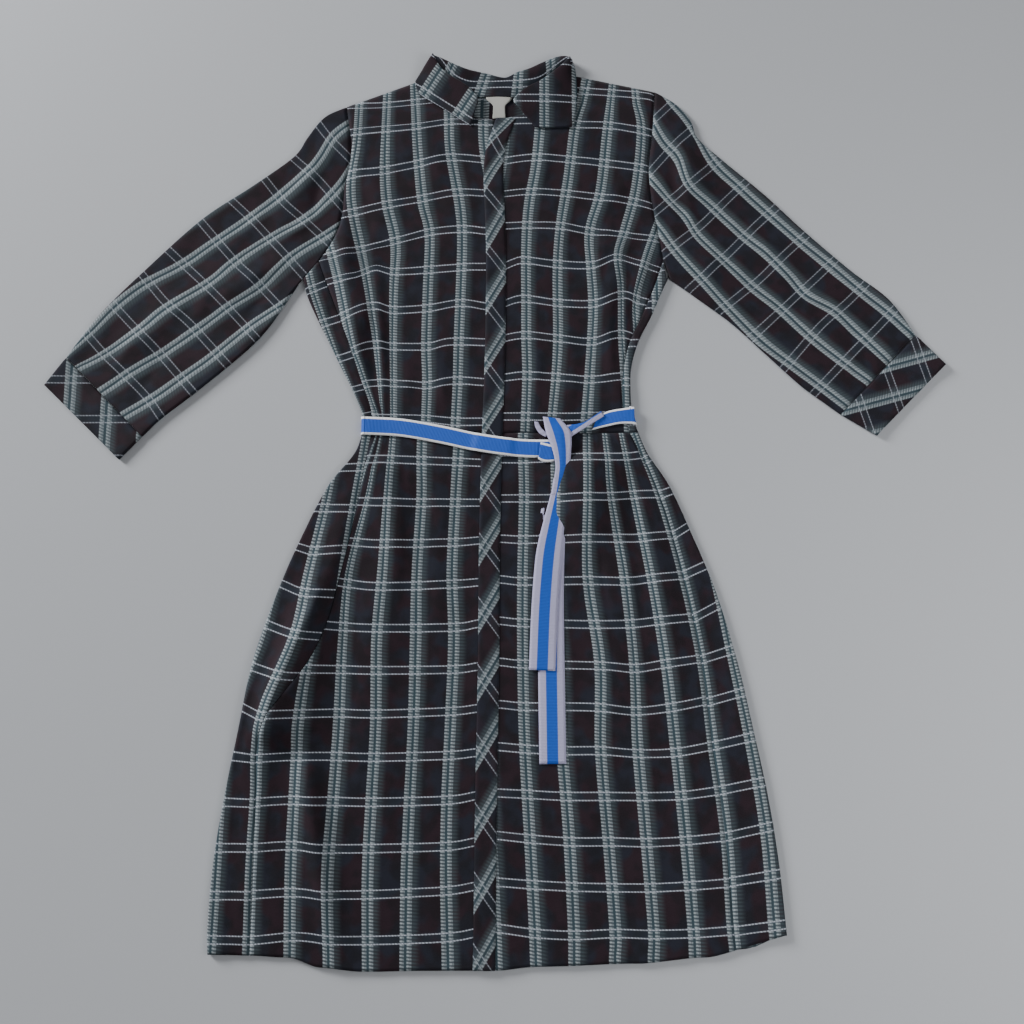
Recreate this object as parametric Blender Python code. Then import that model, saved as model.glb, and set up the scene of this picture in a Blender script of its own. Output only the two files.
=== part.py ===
"""A belted blouse dress in checked cloth, laid flat on its back.

Metres. While it is drawn, x runs from the centre front to the viewer's right, y from the
hem up to the collar and z up from the surface that the dress lies on.
"""

import math
from collections import namedtuple

import bmesh
import bpy
from mathutils import Vector

# Cloth, gaps and layers
WALL = 0.0012
GAP = 0.0003
AIR = 0.0012
EDGE_SWELL = 0.0012
LAYERS = 2 * WALL + GAP

# The body's folded edges are fuller, up to the armpit, and its layers lie closer at the neck
NEAR_EDGE = 0.003
SWELL_REACH = 0.018
SWELL_TOP = 0.740
SWELL_FADE = 0.050
NECK_LOW = 0.955
NECK_SLOPE = 0.12
NECK_FADE = 0.030
NECK_FLAT = 0.9

# Main heights above the hem
WAIST = 0.580
ARMPIT = 0.767
SEAM_TOP = 0.788
PLACKET_TOP = 0.968

# Placket, belt and tails. The body lies on the belt's hidden run, which lifts it
PLACKET_WIDTH = 0.030
RIBBON = 0.0010
RUN_WIDTH = 0.021
TAIL_WIDTH = 0.029
TAIL_HALVES = (-0.014, 0.0, 0.014)
RUN_HALVES = (-0.030, -0.010, 0.010, 0.030)
SIDE_EASE = 1.15
BELT_LIFT = RIBBON + GAP
LIFT_HALF = 0.040
LIFT_FADE = 0.036
FLOOR_HALF = 0.034
FLOOR_FADE = 0.022

# Knot: how far it arches up, and its width at the ends and in the middle
KNOT_RISE = 0.0035
KNOT_CROWN = 0.0015
KNOT_WIDE = 0.024
KNOT_NARROW = 0.019
KNOT_TOP = (0.066, 0.606)
KNOT_FOOT = (0.079, 0.546)

# Collar: radius of its roll, and how high the leaves stand at the shoulder and at the front
ROLL_RADIUS = 0.0019
LEAF_HEIGHTS = (0.0125, 0.0100)
LABEL_WALL = 0.0008

# Where the middle of the laid garment is, from the centre front and from the hem
MIDDLE = Vector((0.0023, 0.5300, 0.0))

Level = namedtuple("Level", "up left right")
Fold = namedtuple("Fold", "up x height left right")
Crease = namedtuple("Crease", "x0 up0 x1 up1 half height")

# Outer edges of the laid body, from the centre front
SKIRT_EDGE = (
    Level(0.000, -0.297, 0.312),
    Level(0.040, -0.300, 0.310),
    Level(0.110, -0.297, 0.305),
    Level(0.180, -0.288, 0.296),
    Level(0.250, -0.276, 0.283),
    Level(0.320, -0.264, 0.269),
    Level(0.400, -0.239, 0.247),
    Level(0.460, -0.215, 0.224),
    Level(0.520, -0.186, 0.198),
    Level(0.556, -0.158, 0.175),
    Level(WAIST, -0.149, 0.165),
)
BODICE_EDGE = (
    Level(WAIST, -0.149, 0.165),
    Level(0.600, -0.150, 0.159),
    Level(0.630, -0.162, 0.157),
    Level(0.660, -0.177, 0.159),
    Level(0.690, -0.192, 0.168),
    Level(0.720, -0.207, 0.183),
    Level(0.745, -0.218, 0.194),
    Level(ARMPIT, -0.224, 0.204),
)

# Side seams, which lie on top, just inside the edges
SKIRT_SEAM = (
    Level(0.000, -0.2545, 0.257),
    Level(0.100, -0.2536, 0.251),
    Level(0.180, -0.2536, 0.244),
    Level(0.230, -0.2540, 0.238),
    Level(0.261, -0.2440, 0.235),
    Level(0.291, -0.2230, 0.232),
    Level(0.324, -0.2000, 0.228),
    Level(0.362, -0.1840, 0.222),
    Level(0.401, -0.1740, 0.214),
    Level(0.439, -0.1650, 0.206),
    Level(0.488, -0.1550, 0.194),
    Level(0.540, -0.1460, 0.174),
    Level(WAIST, -0.1390, 0.155),
)
BODICE_SEAM = (
    Level(WAIST, -0.1390, 0.155),
    Level(0.608, -0.1405, 0.148),
    Level(0.644, -0.1530, 0.148),
    Level(0.685, -0.1670, 0.156),
    Level(0.714, -0.1780, 0.169),
    Level(0.753, -0.1930, 0.186),
    Level(SEAM_TOP, -0.2060, 0.1985),
)

# Armhole seams, from the underarm to the shoulder tip
ARMHOLE_LEFT = (
    (-0.2240, ARMPIT),
    (-0.2060, SEAM_TOP),
    (-0.1930, 0.808),
    (-0.1835, 0.828),
    (-0.1795, 0.850),
    (-0.1780, 0.880),
    (-0.1725, 0.910),
    (-0.1715, 0.940),
    (-0.1785, 0.985),
)
ARMHOLE_RIGHT = (
    (0.2040, ARMPIT),
    (0.1985, SEAM_TOP),
    (0.1955, 0.808),
    (0.1910, 0.834),
    (0.1868, 0.862),
    (0.1840, 0.890),
    (0.1845, 0.915),
    (0.1885, 0.945),
    (0.1935, 1.005),
)

# Shoulder lines, front neckline and back neck, in their order from left to right
NECK_LEFT = (-0.075, 1.026)
NECK_RIGHT = (0.080, 1.030)
NECKLINE_LEFT = (NECK_LEFT, (-0.066, 1.000), (-0.045, 0.978), (0.0, PLACKET_TOP))
NECKLINE_RIGHT = ((0.0, PLACKET_TOP), (0.048, 0.980), (0.070, 1.003), NECK_RIGHT)
BACK_NECK = (NECK_LEFT, (-0.040, 1.009), (0.004, 1.003), (0.048, 1.010), NECK_RIGHT)

# Hem, from left to right
HEM = (
    (-0.2970, 0.017),
    (-0.2544, 0.016),
    (-0.2144, 0.014),
    (-0.1780, 0.004),
    (-0.1350, 0.000),
    (-0.0597, 0.001),
    (0.0000, 0.001),
    (0.0510, 0.005),
    (0.1500, 0.008),
    (0.2230, 0.014),
    (0.2660, 0.022),
    (0.3110, 0.036),
)

# Sleeve silhouettes, from the body to the cuff, and the cuffs' open ends
SLEEVE_LEFT_UNDER = (
    (-0.2242, 0.766),
    (-0.2420, 0.736),
    (-0.2690, 0.696),
    (-0.3010, 0.664),
    (-0.3460, 0.625),
    (-0.3800, 0.597),
    (-0.4005, 0.576),
)
SLEEVE_LEFT_UPPER = (
    (-0.1785, 0.986),
    (-0.2050, 0.972),
    (-0.2240, 0.946),
    (-0.2400, 0.920),
    (-0.2870, 0.883),
    (-0.3450, 0.841),
    (-0.4060, 0.780),
    (-0.4580, 0.723),
    (-0.4941, 0.670),
)
SLEEVE_RIGHT_UNDER = (
    (0.2042, 0.766),
    (0.2340, 0.744),
    (0.2750, 0.712),
    (0.3120, 0.676),
    (0.3520, 0.637),
    (0.3800, 0.615),
    (0.3970, 0.602),
)
SLEEVE_RIGHT_UPPER = (
    (0.1935, 1.006),
    (0.2190, 0.989),
    (0.2360, 0.968),
    (0.2440, 0.944),
    (0.2730, 0.915),
    (0.3200, 0.872),
    (0.3660, 0.825),
    (0.4180, 0.776),
    (0.4600, 0.741),
    (0.4892, 0.697),
)
CUFF_LEFT_END = ((-0.4251, 0.549), (-0.5171, 0.637))
CUFF_RIGHT_END = ((0.4374, 0.577), (0.5217, 0.662))

# Folds that run up and down the body: height over the lie of the cloth, and the
# distance to each side in which it dies away
SKIRT_FOLDS = (
    (
        Fold(0.545, -0.150, 0.000, 0.012, 0.010),
        Fold(0.480, -0.168, 0.004, 0.020, 0.013),
        Fold(0.400, -0.192, 0.008, 0.028, 0.016),
        Fold(0.330, -0.220, 0.012, 0.030, 0.018),
        Fold(0.280, -0.240, 0.012, 0.026, 0.017),
        Fold(0.230, -0.254, 0.006, 0.022, 0.018),
        Fold(0.150, -0.258, 0.002, 0.020, 0.020),
        Fold(0.060, -0.258, 0.000, 0.020, 0.020),
    ),
    (
        Fold(0.540, 0.160, 0.000, 0.010, 0.010),
        Fold(0.500, 0.168, 0.003, 0.012, 0.014),
        Fold(0.420, 0.184, 0.005, 0.014, 0.018),
        Fold(0.330, 0.200, 0.003, 0.016, 0.022),
        Fold(0.240, 0.215, 0.000, 0.016, 0.022),
    ),
    (
        Fold(0.540, -0.112, 0.000, 0.014, 0.014),
        Fold(0.440, -0.118, 0.003, 0.018, 0.022),
        Fold(0.250, -0.140, 0.002, 0.022, 0.026),
        Fold(0.080, -0.150, 0.000, 0.022, 0.026),
    ),
    (
        Fold(0.540, 0.118, 0.000, 0.010, 0.010),
        Fold(0.450, 0.124, 0.002, 0.012, 0.014),
        Fold(0.280, 0.130, 0.002, 0.016, 0.020),
        Fold(0.120, 0.132, 0.000, 0.018, 0.020),
    ),
)
BODICE_FOLDS = (
    (
        Fold(0.622, -0.143, 0.000, 0.008, 0.006),
        Fold(0.660, -0.153, 0.003, 0.010, 0.007),
        Fold(0.710, -0.163, 0.004, 0.012, 0.008),
        Fold(0.760, -0.168, 0.002, 0.014, 0.010),
        Fold(0.800, -0.170, 0.000, 0.014, 0.010),
    ),
    (
        Fold(0.622, 0.132, 0.000, 0.008, 0.006),
        Fold(0.660, 0.132, 0.002, 0.010, 0.007),
        Fold(0.720, 0.134, 0.004, 0.014, 0.008),
        Fold(0.780, 0.142, 0.003, 0.016, 0.010),
        Fold(0.850, 0.156, 0.000, 0.016, 0.012),
    ),
)
SLEEVE_CREASES = (
    Crease(-0.235, 0.800, -0.330, 0.735, 0.012, 0.003),
    Crease(-0.205, 0.930, -0.250, 0.840, 0.012, 0.003),
    Crease(-0.345, 0.760, -0.430, 0.660, 0.014, 0.002),
    Crease(0.215, 0.800, 0.300, 0.760, 0.012, 0.003),
    Crease(0.215, 0.940, 0.250, 0.850, 0.012, 0.003),
    Crease(0.330, 0.790, 0.440, 0.690, 0.014, 0.002),
)

# Belt: the middle of the ribbon across the front, on each side of the knot, and of the tails
RUN_LEFT = (
    (-0.143, 0.588),
    (-0.107, 0.586),
    (-0.061, 0.578),
    (-0.015, 0.568),
    (0.030, 0.562),
    (0.072, 0.561),
)
RUN_RIGHT = (
    (0.074, 0.577),
    (0.090, 0.583),
    (0.112, 0.592),
    (0.135, 0.597),
    (0.153, 0.600),
)
TAIL_UPPER = (
    (0.0780, 0.5454),
    (0.0740, 0.507),
    (0.0670, 0.470),
    (0.0615, 0.435),
    (0.0570, 0.380),
    (0.0540, 0.312),
)
TAIL_LOWER = (
    (0.072, 0.520),
    (0.066, 0.460),
    (0.064, 0.400),
    (0.064, 0.330),
    (0.065, 0.212),
)

# Collar: outer edge, roll line and neck seam of each leaf, from the shoulder to the front
LEAF_LEFT_OUTER = ((-0.0968, 1.0187), (-0.075, 1.002), (-0.052, 0.983), (-0.0296, 0.966))
LEAF_LEFT_ROLL = ((-0.0755, 1.060), (-0.042, 1.036), (-0.024, 1.019), (-0.0140, 1.000))
LEAF_LEFT_NECK = ((-0.0800, 1.030), (-0.064, 1.010), (-0.048, 0.996), (-0.0290, 0.985))
LEAF_RIGHT_OUTER = ((0.1000, 1.0360), (0.1005, 1.010), (0.097, 0.985), (0.0925, 0.964))
LEAF_RIGHT_ROLL = ((0.0832, 1.0574), (0.0470, 1.038), (0.022, 1.016), (0.0240, 0.998))
LEAF_RIGHT_NECK = ((0.0830, 1.0330), (0.0680, 1.015), (0.050, 1.000), (0.0400, 0.985))
STAND_TOP = (
    (-0.0740, 1.0590),
    (-0.0240, 1.0360),
    (0.0120, 1.0253),
    (0.0430, 1.0360),
    (0.0820, 1.0565),
)

# Neck label, from the tab's lower left corner round
LABEL = (
    (-0.0020, 0.973),
    (0.0130, 0.973),
    (0.0155, 0.994),
    (0.0220, 0.996),
    (0.0220, 1.001),
    (-0.0090, 1.001),
    (-0.0090, 0.996),
    (-0.0020, 0.994),
)

# Grid steps
FINE_STEPS = 12
SKIRT_ROWS = 18
SEAM_ROWS = 9
ARMHOLE_ROWS = 8
SHOULDER_STEPS = 6
NECK_STEPS = 5
SKIRT_STEPS = 12
BACK_STEPS = 10
BACK_NECK_STEPS = 6
BACK_SHOULDER_STEPS = 4
WRAP_LEFT_STEPS = 5
WRAP_RIGHT_STEPS = 3
ARC_STEPS = 5
SLEEVE_ROWS = 12
SLEEVE_STEPS = ARMHOLE_ROWS + 1
BOW_FADE = 8
CUFF_ROWS = 3
PLACKET_STEPS = 4
RIBBON_STEPS = 2
RUN_LEFT_STEPS = 26
RUN_RIGHT_STEPS = 9
TAIL_STEPS = 14
BELT_ARC_STEPS = 7
KNOT_ROWS = 10
KNOT_STEPS = 6
LEAF_ROWS = 8
LEAF_STEPS = 6
STAND_STEPS = 4
COLLAR_STEPS = 3


def lerp(a, b, t):
    """A value or a vector t of the way from a to b."""
    return a + (b - a) * t


def ease(t):
    """0 below 0, 1 above 1, and a soft S between."""
    t = min(max(t, 0.0), 1.0)
    return t * t * (3.0 - 2.0 * t)


def bell(t):
    """1 in the middle, dying away softly on both sides."""
    return math.exp(-t * t)


def hermite(p0, p1, m0, m1, t):
    """A cubic from p0 to p1 with end slopes m0 and m1."""
    t2 = t * t
    t3 = t2 * t
    ends = p0 * (2 * t3 - 3 * t2 + 1) + p1 * (3 * t2 - 2 * t3)
    return ends + m0 * (t3 - 2 * t2 + t) + m1 * (t3 - t2)


def read(table, up, column):
    """A column of a table whose rows stand at rising or falling heights, smoothly between rows."""
    rows = sorted(table, key=lambda row: row.up)
    if up <= rows[0].up:
        return getattr(rows[0], column)
    if up >= rows[-1].up:
        return getattr(rows[-1], column)
    i = max(k for k in range(len(rows) - 1) if rows[k].up <= up)
    lo, hi = rows[i], rows[i + 1]
    before = rows[max(i - 1, 0)]
    after = rows[min(i + 2, len(rows) - 1)]
    span = hi.up - lo.up
    here, there = getattr(lo, column), getattr(hi, column)
    m0 = (there - getattr(before, column)) / (hi.up - before.up) * span
    m1 = (getattr(after, column) - here) / (after.up - lo.up) * span
    return hermite(here, there, m0, m1, (up - lo.up) / span)


def curve(points, steps):
    """Points along a smooth line through the given ones, in equal steps of its length."""
    given = [Vector(p) for p in points]
    dense = []
    for i in range(len(given) - 1):
        m0 = (given[i + 1] - given[max(i - 1, 0)]) * (0.5 if i else 1.0)
        last = i + 2 >= len(given)
        m1 = (given[min(i + 2, len(given) - 1)] - given[i]) * (1.0 if last else 0.5)
        for k in range(FINE_STEPS):
            dense.append(hermite(given[i], given[i + 1], m0, m1, k / FINE_STEPS))
    dense.append(given[-1])
    lengths = [0.0]
    for a, b in zip(dense, dense[1:]):
        lengths.append(lengths[-1] + (b - a).length)
    line = []
    k = 0
    for step in range(steps + 1):
        target = lengths[-1] * step / steps
        while k < len(dense) - 2 and lengths[k + 1] < target:
            k += 1
        t = (target - lengths[k]) / max(lengths[k + 1] - lengths[k], 1e-9)
        line.append(lerp(dense[k], dense[k + 1], min(max(t, 0.0), 1.0)))
    return line


def patch(bottom, top, left, right):
    """A net of plan points that fills the space inside four border lines."""
    across, along = len(bottom) - 1, len(left) - 1
    net = []
    for j in range(along + 1):
        v = j / along
        row = []
        for i in range(across + 1):
            u = i / across
            sides = lerp(left[j], right[j], u) + lerp(bottom[i], top[i], v)
            ends = lerp(lerp(left[0], right[0], u), lerp(left[-1], right[-1], u), v)
            row.append(sides - ends)
        net.append(row)
    return net


def hem_at(x):
    """Height of the hem at x."""
    for (x0, up0), (x1, up1) in zip(HEM, HEM[1:]):
        if x <= x1:
            return lerp(up0, up1, ease(max(0.0, (x - x0) / (x1 - x0))))
    return HEM[-1][1]


def edge_at(side, up):
    """Outer edge of the body on the left or right at a height."""
    table = SKIRT_EDGE if up <= WAIST else BODICE_EDGE
    return read(table, up, side)


def fold_height(folds, x, up):
    """What the long folds add at a point of the body."""
    total = 0.0
    for fold in folds:
        middle = read(fold, up, "x")
        reach = read(fold, up, "left" if x < middle else "right")
        total += max(0.0, read(fold, up, "height")) * bell((x - middle) / reach)
    return total


def body_top(x, up):
    """Height of the outer face of the body's upper layer."""
    near = min(abs(x - edge_at("left", up)), abs(x - edge_at("right", up)))
    swell = EDGE_SWELL * bell(near / SWELL_REACH) * (1.0 - ease((up - SWELL_TOP) / SWELL_FADE))
    air = AIR * (1.0 - NECK_FLAT * ease((up - NECK_LOW - NECK_SLOPE * abs(x)) / NECK_FADE))
    lift = BELT_LIFT * (1.0 - ease((abs(up - WAIST) - LIFT_HALF) / LIFT_FADE))
    folds = fold_height(SKIRT_FOLDS, x, up) + fold_height(BODICE_FOLDS, x, up)
    return LAYERS + air + lift + swell + folds


def belt_line(x):
    """Height above the hem of the belt's hidden run behind the back."""
    (x0, up0), (x1, up1) = RUN_LEFT[0], RUN_RIGHT[-1]
    return lerp(up0, up1, (x - x0) / (x1 - x0))


def back_floor(x, up):
    """Height of the underside of the back, which rises only over the belt behind it."""
    rise = 1.0 - ease((abs(up - belt_line(x)) - FLOOR_HALF) / FLOOR_FADE)
    return BELT_LIFT * rise


def crease_height(x, up):
    """What the straight creases add on the sleeves."""
    total = 0.0
    for c in SLEEVE_CREASES:
        run = Vector((c.x1 - c.x0, c.up1 - c.up0))
        rel = Vector((x - c.x0, up - c.up0))
        along = rel.dot(run) / run.length_squared
        away = (rel - run * along).length
        total += c.height * bell(away / c.half) * bell((along - 0.5) / 0.45)
    return total


def solid(name, outer, inner, colour, absent=None):
    """A closed wall between two nets of points, without the cells that absent names."""
    rows, across = len(outer), len(outer[0])
    held = [
        (j, i)
        for j in range(rows - 1)
        for i in range(across - 1)
        if not (absent and absent(j, i))
    ]
    bm = bmesh.new()
    skins = []
    for net in (outer, inner):
        points = {}
        for j, i in held:
            for key in ((j, i), (j, i + 1), (j + 1, i + 1), (j + 1, i)):
                if key not in points:
                    points[key] = bm.verts.new(net[key[0]][key[1]])
        skins.append(points)
    borders = {}
    for j, i in held:
        ring = ((j, i), (j, i + 1), (j + 1, i + 1), (j + 1, i))
        bm.faces.new([skins[0][key] for key in ring])
        bm.faces.new([skins[1][key] for key in reversed(ring)])
        for a, b in zip(ring, ring[1:] + ring[:1]):
            if (b, a) in borders:
                del borders[b, a]
            else:
                borders[a, b] = True
    for a, b in borders:
        bm.faces.new((skins[0][b], skins[0][a], skins[1][a], skins[1][b]))
    return place(name, bm, colour)


def place(name, bm, colour):
    """Turns a mesh into a named object in the laid garment's frame."""
    bmesh.ops.triangulate(bm, faces=[face for face in bm.faces if len(face.verts) > 3])
    bmesh.ops.recalc_face_normals(bm, faces=bm.faces)
    mesh = bpy.data.meshes.new(name)
    bm.to_mesh(mesh)
    bm.free()
    mesh.shade_smooth()
    mesh.set_sharp_from_angle(angle=math.radians(40.0))
    mesh.materials.append(colour)
    piece = bpy.data.objects.new(name, mesh)
    piece.location = -MIDDLE
    bpy.context.collection.objects.link(piece)
    return piece


def material(name, colour, roughness=0.85):
    """A plain finish with one colour."""
    finish = bpy.data.materials.new(name)
    finish.use_nodes = True
    shader = finish.node_tree.nodes["Principled BSDF"]
    shader.inputs["Base Color"].default_value = (*colour, 1.0)
    shader.inputs["Roughness"].default_value = roughness
    shader.inputs["Metallic"].default_value = 0.0
    return finish


def upper(net, height):
    """Outer and inner points of an upper layer, over a net in plan."""
    outer = [[Vector((p.x, p.y, height(p.x, p.y))) for p in row] for row in net]
    inner = [[Vector((p.x, p.y, p.z - WALL)) for p in row] for row in outer]
    return outer, inner


def bend(centre, out, height, floor, start, stop, steps=ARC_STEPS):
    """Outer and inner points of a fold at an edge, from angle start to stop.

    0 is the top and pi the underside; out points away from the cloth in plan.
    """
    radius = (height - floor) / 2
    middle = Vector((centre.x, centre.y, floor + radius))
    outer, inner = [], []
    for k in range(steps + 1):
        angle = lerp(start, stop, k / steps)
        side = Vector((out.x, out.y, 0.0)) * math.sin(angle)
        ray = side + Vector((0.0, 0.0, math.cos(angle)))
        outer.append(middle + ray * radius)
        inner.append(middle + ray * (radius - WALL))
    return outer, inner


def body_wrap(seam, edge, steps, out):
    """A row of the back where it comes round an edge on to the front, from seam to floor."""
    height = body_top(edge.x - out.x * NEAR_EDGE, edge.y)
    floor = back_floor(edge.x, edge.y)
    radius = (height - floor) / 2
    centre = Vector((edge.x - out.x * radius, edge.y))
    outer, inner = [], []
    for k in range(steps):
        p = lerp(seam, centre, k / steps)
        z = lerp(body_top(p.x, p.y), height, ease(k / steps * 2 - 1))
        outer.append(Vector((p.x, p.y, z)))
        inner.append(Vector((p.x, p.y, z - WALL)))
    turn = bend(centre, out, height, floor, 0.0, math.pi)
    return outer + turn[0], inner + turn[1]


def back_panel(name, seam_rows, left_edge, right_edge, left_seam, right_seam, under, colour):
    """A back: its flat under layer, with both sides wrapped on to the front below the armholes."""
    outer, inner = [], []
    first = WRAP_LEFT_STEPS + ARC_STEPS + 1
    last = WRAP_RIGHT_STEPS + ARC_STEPS + 1
    left_out, right_out = Vector((-1.0, 0.0)), Vector((1.0, 0.0))
    for j, row in enumerate(under):
        low = [Vector((p.x, p.y, back_floor(p.x, p.y))) for p in row]
        high = [Vector((p.x, p.y, p.z + WALL)) for p in low]
        if j <= seam_rows:
            start = body_wrap(left_seam[j], left_edge[j], WRAP_LEFT_STEPS, left_out)
            end = body_wrap(right_seam[j], right_edge[j], WRAP_RIGHT_STEPS, right_out)
            outer.append(start[0] + low[1:-1] + end[0][::-1])
            inner.append(start[1] + high[1:-1] + end[1][::-1])
        else:
            outer.append([low[0]] * first + low[1:-1] + [low[-1]] * last)
            inner.append([high[0]] * first + high[1:-1] + [high[-1]] * last)
    across = len(outer[0])
    wrapped = range(seam_rows, len(under))

    def absent(j, i):
        return j in wrapped and (i < first - 1 or i >= across - last)

    return solid(name, outer, inner, colour, absent)


def inset(points, out):
    """Edge points moved in by the radius of the fold that they carry."""
    moved = []
    for p in points:
        radius = (body_top(p.x - out * NEAR_EDGE, p.y) - back_floor(p.x, p.y)) / 2
        moved.append(Vector((p.x - out * radius, p.y)))
    return moved


def skirt_lines():
    """Seam and edge points of the skirt, one for each row, from the hem up."""
    lines = {}
    for side in ("left", "right"):
        seam, edge = [], []
        for j in range(SKIRT_ROWS + 1):
            v = j / SKIRT_ROWS
            for table, line in ((SKIRT_SEAM, seam), (SKIRT_EDGE, edge)):
                foot = hem_at(read(table, 0.0, side))
                up = lerp(foot, WAIST - GAP / 2, v)
                line.append(Vector((read(table, up, side), up)))
        lines[side + "_seam"] = seam
        lines[side + "_edge"] = edge
    return lines


def hem_line(a, b, steps):
    """Hem points from x = a to x = b."""
    xs = [lerp(a, b, k / steps) for k in range(steps + 1)]
    return [Vector((x, hem_at(x))) for x in xs]


def level_line(a, b, up, steps):
    """Points from x = a to x = b at one height."""
    return [Vector((lerp(a, b, k / steps), up)) for k in range(steps + 1)]


def shifted(points, dx):
    """The same points, moved sideways."""
    return [Vector((p.x + dx, p.y)) for p in points]


def centre_line(foot, top, rows, dx):
    """Points up the centre front, beside the gap between the two fronts."""
    return [Vector((dx, lerp(foot, top, j / rows))) for j in range(rows + 1)]


def make_skirt(cloth):
    """Skirt back and the two skirt fronts."""
    lines = skirt_lines()
    waist = WAIST - GAP / 2
    for side, out in (("left", -1.0), ("right", 1.0)):
        seam = shifted(lines[side + "_seam"], -out * GAP / 2)
        centre = centre_line(hem_at(0.0), waist, SKIRT_ROWS, out * GAP / 2)
        foot = hem_line(seam[0].x, centre[0].x, SKIRT_STEPS)
        foot[0], foot[-1] = seam[0], centre[0]
        top = level_line(seam[-1].x, centre[-1].x, waist, SKIRT_STEPS)
        net = patch(foot, top, seam, centre)
        outer, inner = upper(net, body_top)
        solid("skirt_front_" + side, outer, inner, cloth)
    left = inset(lines["left_edge"], -1.0)
    right = inset(lines["right_edge"], 1.0)
    foot = hem_line(left[0].x, right[0].x, BACK_STEPS)
    foot[0], foot[-1] = left[0], right[0]
    top = level_line(left[-1].x, right[-1].x, waist, BACK_STEPS)
    under = patch(foot, top, left, right)
    seams = (shifted(lines["left_seam"], -GAP / 2), shifted(lines["right_seam"], GAP / 2))
    edges = (lines["left_edge"], lines["right_edge"])
    back_panel("skirt_back", SKIRT_ROWS, *edges, *seams, under, cloth)


def armhole_line(armhole):
    """Armhole points: the underarm, then even steps from the side seam to the shoulder tip."""
    return [Vector(armhole[0])] + curve(armhole[1:], ARMHOLE_ROWS)


def bodice_lines():
    """Seam, edge and armhole points of the bodice, one for each row, from the waist up."""
    lines = {}
    for side, armhole in (("left", ARMHOLE_LEFT), ("right", ARMHOLE_RIGHT)):
        seam, edge = [], []
        for j in range(SEAM_ROWS + 1):
            v = j / SEAM_ROWS
            up = lerp(WAIST + GAP / 2, SEAM_TOP, v)
            seam.append(Vector((read(BODICE_SEAM, up, side), up)))
            up = lerp(WAIST + GAP / 2, ARMPIT, v)
            edge.append(Vector((read(BODICE_EDGE, up, side), up)))
        lines[side + "_seam"] = seam
        lines[side + "_edge"] = edge
        lines[side + "_armhole"] = armhole_line(armhole)
    return lines


def make_bodice(cloth):
    """Bodice back and the two bodice fronts."""
    lines = bodice_lines()
    waist = WAIST + GAP / 2
    rows = SEAM_ROWS + ARMHOLE_ROWS
    across = SHOULDER_STEPS + NECK_STEPS
    for side, out in (("left", -1.0), ("right", 1.0)):
        armhole = lines[side + "_armhole"][1:]
        border = shifted(lines[side + "_seam"], -out * GAP / 2) + armhole[1:]
        centre = centre_line(waist, PLACKET_TOP, rows, out * GAP / 2)
        foot = level_line(border[0].x, centre[0].x, waist, across)
        neck = NECKLINE_LEFT if side == "left" else NECKLINE_RIGHT[::-1]
        shoulder = curve((armhole[-1], neck[0]), SHOULDER_STEPS)
        top = shoulder + curve(neck, NECK_STEPS)[1:]
        top[0], top[-1] = border[-1], centre[-1]
        outer, inner = upper(patch(foot, top, border, centre), body_top)
        solid("bodice_front_" + side, outer, inner, cloth)
    borders = []
    for side, out in (("left", -1.0), ("right", 1.0)):
        below = inset(lines[side + "_edge"], out)
        borders.append(below + lines[side + "_armhole"][1:])
    left, right = borders
    across = BACK_NECK_STEPS + 2 * BACK_SHOULDER_STEPS
    foot = level_line(left[0].x, right[0].x, waist, across)
    shoulder_left = curve((left[-1], NECK_LEFT), BACK_SHOULDER_STEPS)
    shoulder_right = curve((NECK_RIGHT, right[-1]), BACK_SHOULDER_STEPS)
    neck = curve(BACK_NECK, BACK_NECK_STEPS)
    top = shoulder_left + neck[1:] + shoulder_right[1:]
    under = patch(foot, top, left, right)
    seams = (shifted(lines["left_seam"], -GAP / 2), shifted(lines["right_seam"], GAP / 2))
    edges = (lines["left_edge"], lines["right_edge"])
    back_panel("bodice_back", SEAM_ROWS, *edges, *seams, under, cloth)


def normals(line, side):
    """Unit vectors across a line in plan, to its left for side 1 and right for -1."""
    across = []
    for k, _ in enumerate(line):
        run = line[min(k + 1, len(line) - 1)] - line[max(k - 1, 0)]
        across.append(Vector((-run.y, run.x)).normalized() * side)
    return across


def across_rows(under, over, start):
    """Rows of points across a sleeve, the first along start, whose bow fades out in the next."""
    rows, across = len(under) - 1, len(start) - 1
    net = []
    for i, point in enumerate(start):
        bow = point - lerp(start[0], start[-1], i / across)
        net.append([
            lerp(under[j], over[j], i / across) + bow * (1.0 - j / rows) ** BOW_FADE
            for j in range(rows + 1)
        ])
    return net


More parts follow.
